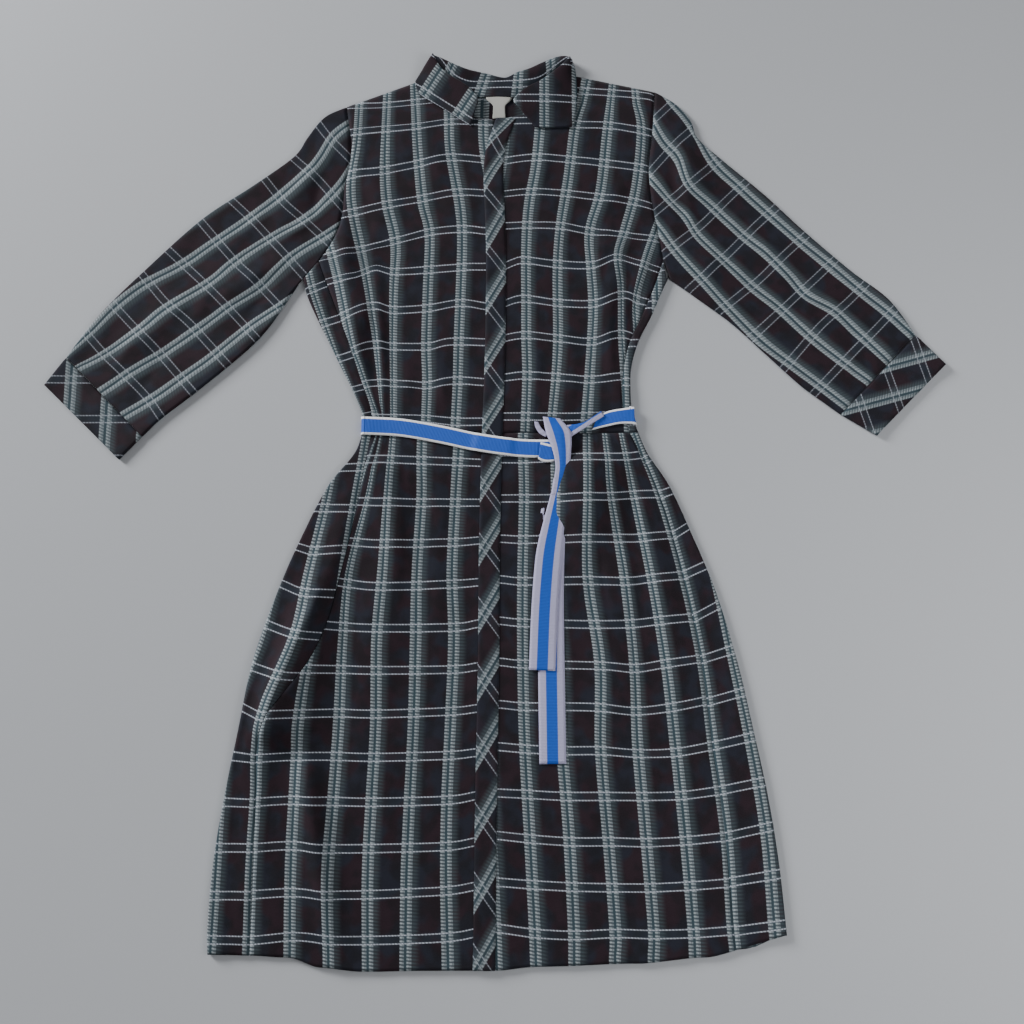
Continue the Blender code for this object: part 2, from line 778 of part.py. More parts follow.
def tube(name, start, under, over, side, colour, tight=0.0):
    """A flattened sleeve or cuff: one cloth round both folds, with its seam on the under fold.

    start runs from the under fold to the upper one. tight flattens the first row.
    """
    rows = len(under) - 1
    under_out = normals(under, -side)
    over_out = normals(over, side)

    def height(j, t):
        near = min(t, 1.0 - t)
        return EDGE_SWELL * bell(near / 0.10) * (1.0 - tight * (1.0 - ease(j / 3)))

    radius = (LAYERS + AIR + EDGE_SWELL) / 2
    low_line = [p - n * radius for p, n in zip(under, under_out)]
    high_line = [p - n * radius for p, n in zip(over, over_out)]
    net = across_rows(low_line, high_line, [low_line[0]] + start[1:-1] + [high_line[0]])
    across = len(start) - 1
    outer, inner = [], []
    slit = GAP / 2 / radius
    for j in range(rows + 1):
        tops = []
        for i in range(across + 1):
            p = net[i][j]
            z = LAYERS + AIR + height(j, i / across)
            if 0 < i < across:
                z += crease_height(p.x, p.y) * math.sin(math.pi * i / across) ** 0.5
            tops.append(Vector((p.x, p.y, z)))
        up_turn = bend(tops[0], under_out[j], tops[0].z, 0.0, math.pi / 2 - slit, 0.0, 2)
        over_turn = bend(tops[-1], over_out[j], tops[-1].z, 0.0, 0.0, math.pi)
        down_turn = bend(tops[0], under_out[j], tops[0].z, 0.0, math.pi, math.pi / 2 + slit, 2)
        lows = [Vector((p.x, p.y, 0.0)) for p in tops]
        outer.append(up_turn[0][:-1] + tops + over_turn[0][1:-1] + lows[::-1] + down_turn[0][1:])
        tops_in = [Vector((p.x, p.y, p.z - WALL)) for p in tops]
        lows_in = [Vector((p.x, p.y, WALL)) for p in tops]
        inner.append(
            up_turn[1][:-1] + tops_in + over_turn[1][1:-1] + lows_in[::-1] + down_turn[1][1:]
        )
    return solid(name, outer, inner, colour)


def make_sleeves(cloth, bias):
    """Two sleeves and their bands, each a flattened tube."""
    sides = (
        ("left", -1.0, ARMHOLE_LEFT, SLEEVE_LEFT_UNDER, SLEEVE_LEFT_UPPER, CUFF_LEFT_END),
        ("right", 1.0, ARMHOLE_RIGHT, SLEEVE_RIGHT_UNDER, SLEEVE_RIGHT_UPPER, CUFF_RIGHT_END),
    )
    for side, out, armhole, under, over, cuff_end in sides:
        under_line = curve(under, SLEEVE_ROWS)
        over_line = curve(over, SLEEVE_ROWS)
        hole = shifted(armhole_line(armhole), out * 1.2 * GAP)
        under_line[0] = under_line[0] + Vector((out * 2.2, 0.8)) * 0.0010
        over_line[0] = over_line[0] + Vector((out * 2.0, -0.5)) * 0.0010
        tube("sleeve_" + side, hole, under_line, over_line, out, cloth, tight=0.9)
        run = (Vector(cuff_end[0]) - under_line[-1]).normalized() * GAP
        start_under = under_line[-1] + run
        start_over = over_line[-1] + run
        cuff_under = curve((start_under, cuff_end[0]), CUFF_ROWS)
        cuff_over = curve((start_over, cuff_end[1]), CUFF_ROWS)
        cuff_start = curve((start_under, start_over), SLEEVE_STEPS)
        tube("cuff_" + side, cuff_start, cuff_under, cuff_over, out, bias)


def make_placket(bias):
    """The band that covers the closed front, from the neck to the hem."""
    skirt = centre_line(hem_at(0.0), WAIST - GAP / 2, SKIRT_ROWS, 0.0)
    bodice = centre_line(WAIST + GAP / 2, PLACKET_TOP, SEAM_ROWS + ARMHOLE_ROWS, 0.0)
    outer, inner = [], []
    for p in skirt + bodice[1:]:
        high, low = [], []
        for k in range(PLACKET_STEPS + 1):
            x = PLACKET_WIDTH * (k / PLACKET_STEPS - 0.5)
            floor = body_top(x, p.y) + GAP
            low.append(Vector((x, p.y, floor)))
            high.append(Vector((x, p.y, floor + WALL)))
        outer.append(high)
        inner.append(low)
    solid("placket", outer, inner, bias)


def ribbon(name, stations, colour):
    """A flat band through stations of (x, up, underside height, width), with its wall above."""
    points = [Vector(s[:2]) for s in stations]
    outer, inner = [], []
    for p, n, s in zip(points, normals(points, 1.0), stations):
        high, low = [], []
        for k in range(RIBBON_STEPS + 1):
            q = p + n * s[3] * (k / RIBBON_STEPS - 0.5)
            low.append(Vector((q.x, q.y, s[2])))
            high.append(Vector((q.x, q.y, s[2] + RIBBON)))
        outer.append(high)
        inner.append(low)
    return solid(name, outer, inner, colour)


def run_floor(x):
    """Height of the underside of the belt where it crosses the front."""
    rest = max(body_top(x, WAIST + d) for d in RUN_HALVES) + GAP
    over = 1.0 - ease((abs(x) - PLACKET_WIDTH / 2 - 0.002) / 0.010)
    return rest + (WALL + GAP) * over


def tail_floor(p):
    """Height of the underside of a tail that lies on the skirt."""
    return max(body_top(p.x + dx, p.y) for dx in TAIL_HALVES) + GAP


def make_belt(blue):
    """The ribbon round the waist in three runs, its knot and its two tails."""
    for name, run, steps in (
        ("belt_left", RUN_LEFT, RUN_LEFT_STEPS),
        ("belt_right", RUN_RIGHT, RUN_RIGHT_STEPS),
    ):
        line = curve(run, steps)
        ribbon(name, [(p.x, p.y, run_floor(p.x), RUN_WIDTH) for p in line], blue)
    belt_behind(blue)
    belt_knot(run_floor(RUN_LEFT[-1][0]) + RIBBON + GAP, blue)
    lower = []
    for p in curve(TAIL_LOWER, TAIL_STEPS):
        slack = 0.0008 * bell((p.y - TAIL_LOWER[0][1]) / 0.030)
        lower.append((p.x, p.y, tail_floor(p) + slack, TAIL_WIDTH))
    ribbon("belt_tail_lower", lower, blue)
    over = []
    for p in curve(TAIL_UPPER, TAIL_STEPS):
        slack = 0.0016 * bell((p.y - 0.530) / 0.030)
        width = lerp(KNOT_NARROW, TAIL_WIDTH, ease((0.540 - p.y) / 0.110))
        over.append((p.x, p.y, tail_floor(p) + RIBBON + GAP + slack, width))
    ribbon("belt_tail_upper", over, blue)


def belt_turn(side, out, up):
    """Inner and outer points of one edge of the ribbon where it goes round a side."""
    edge = edge_at(side, up)
    height = body_top(edge - out * NEAR_EDGE, up)
    floor = back_floor(edge, up)
    radius = (height - floor) / 2
    centre = Vector((edge - out * radius, up, floor + radius))
    points = []
    for k in range(BELT_ARC_STEPS + 1):
        angle = math.pi * k / BELT_ARC_STEPS
        ray = Vector((out * math.sin(angle) * SIDE_EASE, 0.0, math.cos(angle)))
        points.append((centre + ray * (radius + GAP), centre + ray * (radius + GAP + RIBBON)))
    return points


def belt_behind(blue):
    """The hidden run, from the left front round the back to the right front."""
    outer, inner = [], []
    ends = []
    for side, out, middle in (("left", -1.0, RUN_LEFT[0]), ("right", 1.0, RUN_RIGHT[-1])):
        ups = [middle[1] + RUN_WIDTH * (k / 2 - 0.5) for k in range(3)]
        ends.append([belt_turn(side, out, up) for up in ups])
    for turn, order in zip(ends, (1, -1)):
        for k in list(range(BELT_ARC_STEPS + 1))[::order]:
            inner.append([line[k][0] for line in turn])
            outer.append([line[k][1] for line in turn])
    solid("belt_back", outer, inner, blue)


def belt_knot(floor, blue):
    """The turn of ribbon that holds the knot: an arch over both runs."""
    outer, inner = [], []
    for j in range(KNOT_ROWS + 1):
        t = j / KNOT_ROWS
        arch = math.sin(math.pi * t) ** 0.6
        up = lerp(KNOT_TOP[1], KNOT_FOOT[1], t)
        middle = lerp(KNOT_TOP[0], KNOT_FOOT[0], ease(t))
        width = lerp(KNOT_WIDE, KNOT_NARROW, bell((t - 0.5) / 0.3))
        high, low = [], []
        for k in range(KNOT_STEPS + 1):
            u = k / KNOT_STEPS * 2 - 1
            z = floor + KNOT_RISE * arch + KNOT_CROWN * (1.0 - u * u)
            p = Vector((middle + u * width / 2, up - 0.001 * u * t, z))
            low.append(p)
            high.append(p + Vector((0.0, 0.0, RIBBON)))
        outer.append(high)
        inner.append(low)
    solid("belt_knot", outer, inner, blue)


def leaf(name, outer_line, roll_line, neck_line, colour):
    """A collar leaf: from its outer edge up to the roll line, over it and down to the neck seam."""
    edge = curve(outer_line, LEAF_ROWS)
    roll = curve(roll_line, LEAF_ROWS)
    neck = curve(neck_line, LEAF_ROWS)
    outer, inner = [], []
    for j in range(LEAF_ROWS + 1):
        out = (roll[j] - edge[j]).normalized()
        crest = roll[j] - out * ROLL_RADIUS
        high = lerp(*LEAF_HEIGHTS, j / LEAF_ROWS)
        low = LAYERS + AIR + 2 * GAP + WALL
        face = []
        for k in range(LEAF_STEPS + 1):
            t = k / LEAF_STEPS
            p = lerp(edge[j], crest, t)
            face.append(Vector((p.x, p.y, lerp(low, high, ease(t * 0.9 + 0.1) if t else 0.0))))
        stand_top = high - 2 * ROLL_RADIUS
        turn = bend(crest, out, high, stand_top, 0.0, math.pi, STAND_STEPS)
        stand = []
        for k in range(1, STAND_STEPS + 1):
            t = k / STAND_STEPS
            p = lerp(crest, neck[j], t)
            z = lerp(stand_top, LAYERS + AIR + GAP, ease(t))
            stand.append(Vector((p.x, p.y, z)))
        up = Vector((0.0, 0.0, WALL))
        outer.append(face + turn[0][1:] + stand)
        inner.append([p - up for p in face] + turn[1][1:] + [p + up for p in stand])
    return solid(name, outer, inner, colour)


def halved(line):
    """The same line with a point in the middle of each stretch."""
    points = [line[0]]
    for a, b in zip(line, line[1:]):
        points += [lerp(a, b, 0.5), b]
    return points


def collar_back(cloth):
    """The back of the collar: the stand, seen from inside, over the fall that lies beneath."""
    neck = halved(curve(BACK_NECK, BACK_NECK_STEPS))
    top = curve(STAND_TOP, len(neck) - 1)
    away = normals(neck, 1.0)
    outer, inner = [], []
    for j in range(len(neck)):
        seam = neck[j] + away[j] * 2 * GAP
        out = (top[j] - seam).normalized()
        crest = top[j] - out * ROLL_RADIUS
        high = 2 * ROLL_RADIUS
        stand = []
        for k in range(COLLAR_STEPS + 1):
            t = k / COLLAR_STEPS
            p = lerp(seam, crest, t)
            stand.append(Vector((p.x, p.y, lerp(LAYERS, high, ease(t)))))
        turn = bend(crest, out, high, 0.0, 0.0, math.pi, STAND_STEPS)
        fall = []
        for k in range(1, COLLAR_STEPS + 1):
            p = lerp(crest, seam, k / COLLAR_STEPS)
            fall.append(Vector((p.x, p.y, 0.0)))
        up = Vector((0.0, 0.0, WALL))
        outer.append(stand + turn[0][1:] + fall)
        inner.append([p - up for p in stand] + turn[1][1:] + [p + up for p in fall])
    return solid("collar_back", outer, inner, cloth)


def make_collar(cloth):
    """Two leaves and the back of the collar."""
    leaf("collar_left", LEAF_LEFT_OUTER, LEAF_LEFT_ROLL, LEAF_LEFT_NECK, cloth)
    leaf("collar_right", LEAF_RIGHT_OUTER, LEAF_RIGHT_ROLL, LEAF_RIGHT_NECK, cloth)
    collar_back(cloth)


def make_label(white):
    """The blank label at the back neck: a bar with a tab below it."""
    bm = bmesh.new()
    face = bm.faces.new([bm.verts.new((x, up, WALL + GAP)) for x, up in LABEL])
    grown = bmesh.ops.extrude_face_region(bm, geom=[face])
    tops = [item for item in grown["geom"] if isinstance(item, bmesh.types.BMVert)]
    bmesh.ops.translate(bm, verts=tops, vec=(0.0, 0.0, LABEL_WALL))
    place("neck_label", bm, white)


def main():
    for old in list(bpy.data.objects):
        bpy.data.objects.remove(old)
    cloth = material("checked_cloth", (0.030, 0.028, 0.030))
    bias = material("bias_cloth", (0.034, 0.032, 0.034))
    blue = material("ribbon", (0.02, 0.10, 0.50), 0.6)
    white = material("label", (0.75, 0.75, 0.74), 0.7)
    make_skirt(cloth)
    make_bodice(cloth)
    make_sleeves(cloth, bias)
    make_placket(bias)
    make_collar(cloth)
    make_label(white)
    make_belt(blue)


main()
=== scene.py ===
import math
from collections import namedtuple

import bmesh
import bpy
import numpy as np
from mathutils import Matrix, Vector


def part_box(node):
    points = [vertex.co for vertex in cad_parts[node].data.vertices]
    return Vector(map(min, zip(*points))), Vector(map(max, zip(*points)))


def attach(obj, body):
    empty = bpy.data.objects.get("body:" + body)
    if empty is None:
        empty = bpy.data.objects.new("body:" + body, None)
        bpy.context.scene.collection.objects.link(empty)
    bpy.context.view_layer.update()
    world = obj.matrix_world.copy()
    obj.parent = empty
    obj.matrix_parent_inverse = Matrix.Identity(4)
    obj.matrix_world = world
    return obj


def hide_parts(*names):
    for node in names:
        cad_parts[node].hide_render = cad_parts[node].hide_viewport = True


# %% [markdown]
# # A belted blouse dress, laid flat on its back
#
# The CAD solids give the lie of every panel: how far it reaches, how high its large folds
# stand and what lies on what. This script sews the finished cloth over them. Each piece is
# one sheet, a good half millimetre thick, on its own solid, with the small creases that the
# solids leave out.

# %% Load the frame
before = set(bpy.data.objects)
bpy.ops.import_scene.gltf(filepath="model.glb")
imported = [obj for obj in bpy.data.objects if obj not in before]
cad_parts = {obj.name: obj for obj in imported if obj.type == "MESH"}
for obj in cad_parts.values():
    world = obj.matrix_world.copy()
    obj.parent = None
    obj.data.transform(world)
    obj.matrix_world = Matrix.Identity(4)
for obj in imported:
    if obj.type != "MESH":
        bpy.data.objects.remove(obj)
bpy.context.view_layer.update()

# %% [markdown]
# Everything is drawn in the dress's own sizes: x from the centre front, "up" from the hem,
# z from the surface. The placket's solid says where the centre front and the hem are.

# %% The dress's own axes
placket_low, placket_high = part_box("placket")
HEM_AT_CENTRE = 0.001
CENTRE_FRONT = (placket_low[0] + placket_high[0]) / 2
HEM_LEVEL = placket_low[1] - HEM_AT_CENTRE
TO_ROW = Vector((CENTRE_FRONT, HEM_LEVEL, 0.0))
print("centre front at x", round(CENTRE_FRONT, 4), "and hem at y", round(HEM_LEVEL, 4))

# %% [markdown]
# The cloth has to lie where the solids lie, so the sizes that they were built with are needed
# again: the layers of a laid dress, its folded edges, and the heights of waist and armholes.

# %% Sizes that the solids share
# Walls and gaps of the layers, the air between them, and the swell along a folded edge
WALL = 0.0012
GAP = 0.0003
AIR = 0.0012
EDGE_SWELL = 0.0012
LAYERS = 2 * WALL + GAP
NEAR_EDGE = 0.003
SWELL_REACH = 0.018
SWELL_TOP = 0.740
SWELL_FADE = 0.050
# Towards the neck the air goes out
NECK_LOW = 0.955
NECK_SLOPE = 0.12
NECK_FADE = 0.030
NECK_FLAT = 0.9
# Heights above the hem, and the width of the band
WAIST = 0.580
ARMPIT = 0.767
SEAM_TOP = 0.788
PLACKET_TOP = 0.968
PLACKET_WIDTH = 0.030
# The ribbon, its widths, its ease round the sides, and how the cloth lifts over its hidden run
RIBBON = 0.0010
RUN_WIDTH = 0.021
TAIL_WIDTH = 0.029
SIDE_EASE = 1.15
BELT_LIFT = RIBBON + GAP
LIFT_HALF = 0.040
LIFT_FADE = 0.036
FLOOR_HALF = 0.034
FLOOR_FADE = 0.022
# The collar's roll, and the cloth itself
ROLL_RADIUS = 0.0019
CLOTH = 0.0006
print("a laid dress is", round((LAYERS + AIR) * 1000, 1), "mm high between its folds")

# A row for each height, each point of a fold, and each crease
Level = namedtuple("Level", "up left right")
Fold = namedtuple("Fold", "up x height left right")
Crease = namedtuple("Crease", "x0 up0 x1 up1 half height")

# %% [markdown]
# ## Outlines
#
# The same outlines that the solids were cut to, so that the cloth ends where they end.

# %% Outlines and large folds
# Outer edges of the laid body, from the centre front
SKIRT_EDGE = (
    Level(0.000, -0.297, 0.312),
    Level(0.040, -0.300, 0.310),
    Level(0.110, -0.297, 0.305),
    Level(0.180, -0.288, 0.296),
    Level(0.250, -0.276, 0.283),
    Level(0.320, -0.264, 0.269),
    Level(0.400, -0.239, 0.247),
    Level(0.460, -0.215, 0.224),
    Level(0.520, -0.186, 0.198),
    Level(0.556, -0.158, 0.175),
    Level(WAIST, -0.149, 0.165),
)
BODICE_EDGE = (
    Level(WAIST, -0.149, 0.165),
    Level(0.600, -0.150, 0.159),
    Level(0.630, -0.162, 0.157),
    Level(0.660, -0.177, 0.159),
    Level(0.690, -0.192, 0.168),
    Level(0.720, -0.207, 0.183),
    Level(0.745, -0.218, 0.194),
    Level(ARMPIT, -0.224, 0.204),
)

# Side seams, which lie on top, just inside the edges
SKIRT_SEAM = (
    Level(0.000, -0.2545, 0.257),
    Level(0.100, -0.2536, 0.251),
    Level(0.180, -0.2536, 0.244),
    Level(0.230, -0.2540, 0.238),
    Level(0.261, -0.2440, 0.235),
    Level(0.291, -0.2230, 0.232),
    Level(0.324, -0.2000, 0.228),
    Level(0.362, -0.1840, 0.222),
    Level(0.401, -0.1740, 0.214),
    Level(0.439, -0.1650, 0.206),
    Level(0.488, -0.1550, 0.194),
    Level(0.540, -0.1460, 0.174),
    Level(WAIST, -0.1390, 0.155),
)
BODICE_SEAM = (
    Level(WAIST, -0.1390, 0.155),
    Level(0.608, -0.1405, 0.148),
    Level(0.644, -0.1530, 0.148),
    Level(0.685, -0.1670, 0.156),
    Level(0.714, -0.1780, 0.169),
    Level(0.753, -0.1930, 0.186),
    Level(SEAM_TOP, -0.2060, 0.1985),
)

# Armhole seams, from the underarm to the shoulder tip
ARMHOLE_LEFT = (
    (-0.2240, ARMPIT), (-0.2060, SEAM_TOP), (-0.1930, 0.808), (-0.1835, 0.828), (-0.1795, 0.850),
    (-0.1780, 0.880), (-0.1725, 0.910), (-0.1715, 0.940), (-0.1785, 0.985),
)
ARMHOLE_RIGHT = (
    (0.2040, ARMPIT), (0.1985, SEAM_TOP), (0.1955, 0.808), (0.1910, 0.834), (0.1868, 0.862),
    (0.1840, 0.890), (0.1845, 0.915), (0.1885, 0.945), (0.1935, 1.005),
)

# Shoulder lines, front neckline and back neck, in their order from left to right
NECK_LEFT = (-0.075, 1.026)
NECK_RIGHT = (0.080, 1.030)
NECKLINE_LEFT = (NECK_LEFT, (-0.066, 1.000), (-0.045, 0.978), (0.0, PLACKET_TOP))
NECKLINE_RIGHT = ((0.0, PLACKET_TOP), (0.048, 0.980), (0.070, 1.003), NECK_RIGHT)
BACK_NECK = (NECK_LEFT, (-0.040, 1.009), (0.004, 1.003), (0.048, 1.010), NECK_RIGHT)

# Hem, from left to right
HEM = (
    (-0.2970, 0.017), (-0.2544, 0.016), (-0.2144, 0.014), (-0.1780, 0.004), (-0.1350, 0.000),
    (-0.0597, 0.001), (0.0000, 0.001), (0.0510, 0.005), (0.1500, 0.008), (0.2230, 0.014),
    (0.2660, 0.022), (0.3110, 0.036),
)

# Sleeve silhouettes, from the body to the cuff, and the cuffs' open ends
SLEEVE_LEFT_UNDER = (
    (-0.2242, 0.766), (-0.2420, 0.736), (-0.2690, 0.696), (-0.3010, 0.664), (-0.3460, 0.625),
    (-0.3800, 0.597), (-0.4005, 0.576),
)
SLEEVE_LEFT_UPPER = (
    (-0.1785, 0.986), (-0.2050, 0.972), (-0.2240, 0.946), (-0.2400, 0.920), (-0.2870, 0.883),
    (-0.3450, 0.841), (-0.4060, 0.780), (-0.4580, 0.723), (-0.4941, 0.670),
)
SLEEVE_RIGHT_UNDER = (
    (0.2042, 0.766), (0.2340, 0.744), (0.2750, 0.712), (0.3120, 0.676), (0.3520, 0.637),
    (0.3800, 0.615), (0.3970, 0.602),
)
SLEEVE_RIGHT_UPPER = (
    (0.1935, 1.006), (0.2190, 0.989), (0.2360, 0.968), (0.2440, 0.944), (0.2730, 0.915),
    (0.3200, 0.872), (0.3660, 0.825), (0.4180, 0.776), (0.4600, 0.741), (0.4892, 0.697),
)
CUFF_LEFT_END = ((-0.4251, 0.549), (-0.5171, 0.637))
CUFF_RIGHT_END = ((0.4374, 0.577), (0.5217, 0.662))

# Folds that run up and down the body: height over the lie of the cloth, and the
# distance to each side in which it dies away
SKIRT_FOLDS = (
    (
        Fold(0.545, -0.150, 0.000, 0.012, 0.010),
        Fold(0.480, -0.168, 0.004, 0.020, 0.013),
        Fold(0.400, -0.192, 0.008, 0.028, 0.016),
        Fold(0.330, -0.220, 0.012, 0.030, 0.018),
        Fold(0.280, -0.240, 0.012, 0.026, 0.017),
        Fold(0.230, -0.254, 0.006, 0.022, 0.018),
        Fold(0.150, -0.258, 0.002, 0.020, 0.020),
        Fold(0.060, -0.258, 0.000, 0.020, 0.020),
    ),
    (
        Fold(0.540, 0.160, 0.000, 0.010, 0.010),
        Fold(0.500, 0.168, 0.003, 0.012, 0.014),
        Fold(0.420, 0.184, 0.005, 0.014, 0.018),
        Fold(0.330, 0.200, 0.003, 0.016, 0.022),
        Fold(0.240, 0.215, 0.000, 0.016, 0.022),
    ),
    (
        Fold(0.540, -0.112, 0.000, 0.014, 0.014),
        Fold(0.440, -0.118, 0.003, 0.018, 0.022),
        Fold(0.250, -0.140, 0.002, 0.022, 0.026),
        Fold(0.080, -0.150, 0.000, 0.022, 0.026),
    ),
    (
        Fold(0.540, 0.118, 0.000, 0.010, 0.010),
        Fold(0.450, 0.124, 0.002, 0.012, 0.014),
        Fold(0.280, 0.130, 0.002, 0.016, 0.020),
        Fold(0.120, 0.132, 0.000, 0.018, 0.020),
    ),
)
BODICE_FOLDS = (
    (
        Fold(0.622, -0.143, 0.000, 0.008, 0.006),
        Fold(0.660, -0.153, 0.003, 0.010, 0.007),
        Fold(0.710, -0.163, 0.004, 0.012, 0.008),
        Fold(0.760, -0.168, 0.002, 0.014, 0.010),
        Fold(0.800, -0.170, 0.000, 0.014, 0.010),
    ),
    (
        Fold(0.622, 0.132, 0.000, 0.008, 0.006),
        Fold(0.660, 0.132, 0.002, 0.010, 0.007),
        Fold(0.720, 0.134, 0.004, 0.014, 0.008),
        Fold(0.780, 0.142, 0.003, 0.016, 0.010),
        Fold(0.850, 0.156, 0.000, 0.016, 0.012),
    ),
)
SLEEVE_CREASES = (
    Crease(-0.235, 0.800, -0.330, 0.735, 0.012, 0.003),
    Crease(-0.205, 0.930, -0.250, 0.840, 0.012, 0.003),
    Crease(-0.345, 0.760, -0.430, 0.660, 0.014, 0.002),
    Crease(0.215, 0.800, 0.300, 0.760, 0.012, 0.003),
    Crease(0.215, 0.940, 0.250, 0.850, 0.012, 0.003),
    Crease(0.330, 0.790, 0.440, 0.690, 0.014, 0.002),
)

# Belt: the middle of the ribbon across the front, on each side of the knot, and of the tails
RUN_LEFT = (
    (-0.143, 0.588), (-0.107, 0.586), (-0.061, 0.578), (-0.015, 0.568), (0.030, 0.562),
    (0.072, 0.561),
)
RUN_RIGHT = (
    (0.074, 0.577), (0.090, 0.583), (0.112, 0.592), (0.135, 0.597), (0.153, 0.600),
)
TAIL_UPPER = (
    (0.0780, 0.5454), (0.0740, 0.507), (0.0670, 0.470), (0.0615, 0.435), (0.0570, 0.380),
    (0.0540, 0.312),
)
TAIL_LOWER = (
    (0.072, 0.520), (0.066, 0.460), (0.064, 0.400), (0.064, 0.330), (0.065, 0.212),
)

# Neck seams of the collar's two leaves, from the shoulder to the front
LEAF_LEFT_NECK = ((-0.0800, 1.030), (-0.064, 1.010), (-0.048, 0.996), (-0.0290, 0.985))
LEAF_RIGHT_NECK = ((0.0830, 1.0330), (0.0680, 1.015), (0.050, 1.000), (0.0400, 0.985))
print(len(SKIRT_FOLDS), "long folds on the skirt and", len(BODICE_FOLDS), "on the bodice")

# %% [markdown]
# A cutter draws an armhole as one smooth line through a few marks. Here it is the same: a line
# through a few points, and a panel as the net of points between its four borders.

# %% Lines and curves
FINE_STEPS = 12
TRACK_STEPS = 400
tracks = {}


def lerp(a, b, t):
    """A value or a point t of the way from a to b."""
    return a + (b - a) * t


def ease(t):
    """0 below 0, 1 above 1, and a soft S between."""
    t = np.clip(t, 0.0, 1.0)
    return t * t * (3.0 - 2.0 * t)


def bell(t):
    """1 in the middle, dying away softly on both sides."""
    return np.exp(-t * t)


def hermite(p0, p1, m0, m1, t):
    """A cubic from p0 to p1 with end slopes m0 and m1."""
    t2 = t * t
    t3 = t2 * t
    ends = p0 * (2 * t3 - 3 * t2 + 1) + p1 * (3 * t2 - 2 * t3)
    return ends + m0 * (t3 - 2 * t2 + t) + m1 * (t3 - t2)


def read(table, up, column):
    """A column of a table whose rows stand at rising or falling heights, smoothly between rows."""
    rows = sorted(table, key=lambda row: row.up)
    if up <= rows[0].up:
        return getattr(rows[0], column)
    if up >= rows[-1].up:
        return getattr(rows[-1], column)
    i = max(k for k in range(len(rows) - 1) if rows[k].up <= up)
    lo, hi = rows[i], rows[i + 1]
    before = rows[max(i - 1, 0)]
    after = rows[min(i + 2, len(rows) - 1)]
    span = hi.up - lo.up
    here, there = getattr(lo, column), getattr(hi, column)
    m0 = (there - getattr(before, column)) / (hi.up - before.up) * span
    m1 = (getattr(after, column) - here) / (after.up - lo.up) * span
    return hermite(here, there, m0, m1, (up - lo.up) / span)


def follow(table, ups, column):
    """The same for many heights at once."""
    key = (id(table), column)
    if key not in tracks:
        heights = [row.up for row in table]
        grid = np.linspace(min(heights), max(heights), TRACK_STEPS)
        tracks[key] = (grid, np.array([read(table, up, column) for up in grid]))
    return np.interp(ups, *tracks[key])


def shares(steps):
    """Even steps from 0 to 1."""
    return np.linspace(0.0, 1.0, steps + 1)


def curve(points, steps):
    """Points along a smooth line through the given ones, in equal steps of its length."""
    given = np.array(points, dtype=float)
    dense = []
    for i in range(len(given) - 1):
        m0 = (given[i + 1] - given[max(i - 1, 0)]) * (0.5 if i else 1.0)
        last = i + 2 >= len(given)
        m1 = (given[min(i + 2, len(given) - 1)] - given[i]) * (1.0 if last else 0.5)
        for k in range(FINE_STEPS):
            dense.append(hermite(given[i], given[i + 1], m0, m1, k / FINE_STEPS))
    dense.append(given[-1])
    dense = np.array(dense)
    steps_taken = np.linalg.norm(np.diff(dense, axis=0), axis=1)
    lengths = np.concatenate(([0.0], np.cumsum(steps_taken)))
    at = np.linspace(0.0, lengths[-1], steps + 1)
    return np.stack([np.interp(at, lengths, dense[:, k]) for k in range(dense.shape[1])], axis=1)


def straight(a, b, steps):
    """Points in even steps from a to b."""
    t = shares(steps)[:, None]
    return lerp(np.array(a, dtype=float), np.array(b, dtype=float), t)


def patch(bottom, top, left, right):
    """A net of plan points that fills the space inside four border lines."""
    u = np.linspace(0.0, 1.0, len(bottom))[None, :, None]
    v = np.linspace(0.0, 1.0, len(left))[:, None, None]
    sides = lerp(left[:, None], right[:, None], u) + lerp(bottom[None], top[None], v)
    ends = lerp(lerp(left[0], right[0], u), lerp(left[-1], right[-1], u), v)
    return sides - ends


def normals(line, side):
    """Unit vectors across a line in plan, to its left for side 1 and right for -1."""
    run = np.gradient(line, axis=0)
    across = np.stack((-run[:, 1], run[:, 0]), axis=1) * side
    return across / np.linalg.norm(across, axis=1, keepdims=True)


def solid_points(net, height):
    """A net of plan points with their heights."""
    return np.concatenate((net, height[..., None]), axis=-1)


# %% [markdown]
# ## How the cloth lies
#
# The solids hold the large folds. The cloth adds what is too fine for them: creases that run
# from the armholes, the tuck at the left of the bodice, the dart-like fold at its right, soft
# ripples down the skirt, and a shallow dip along each seam.

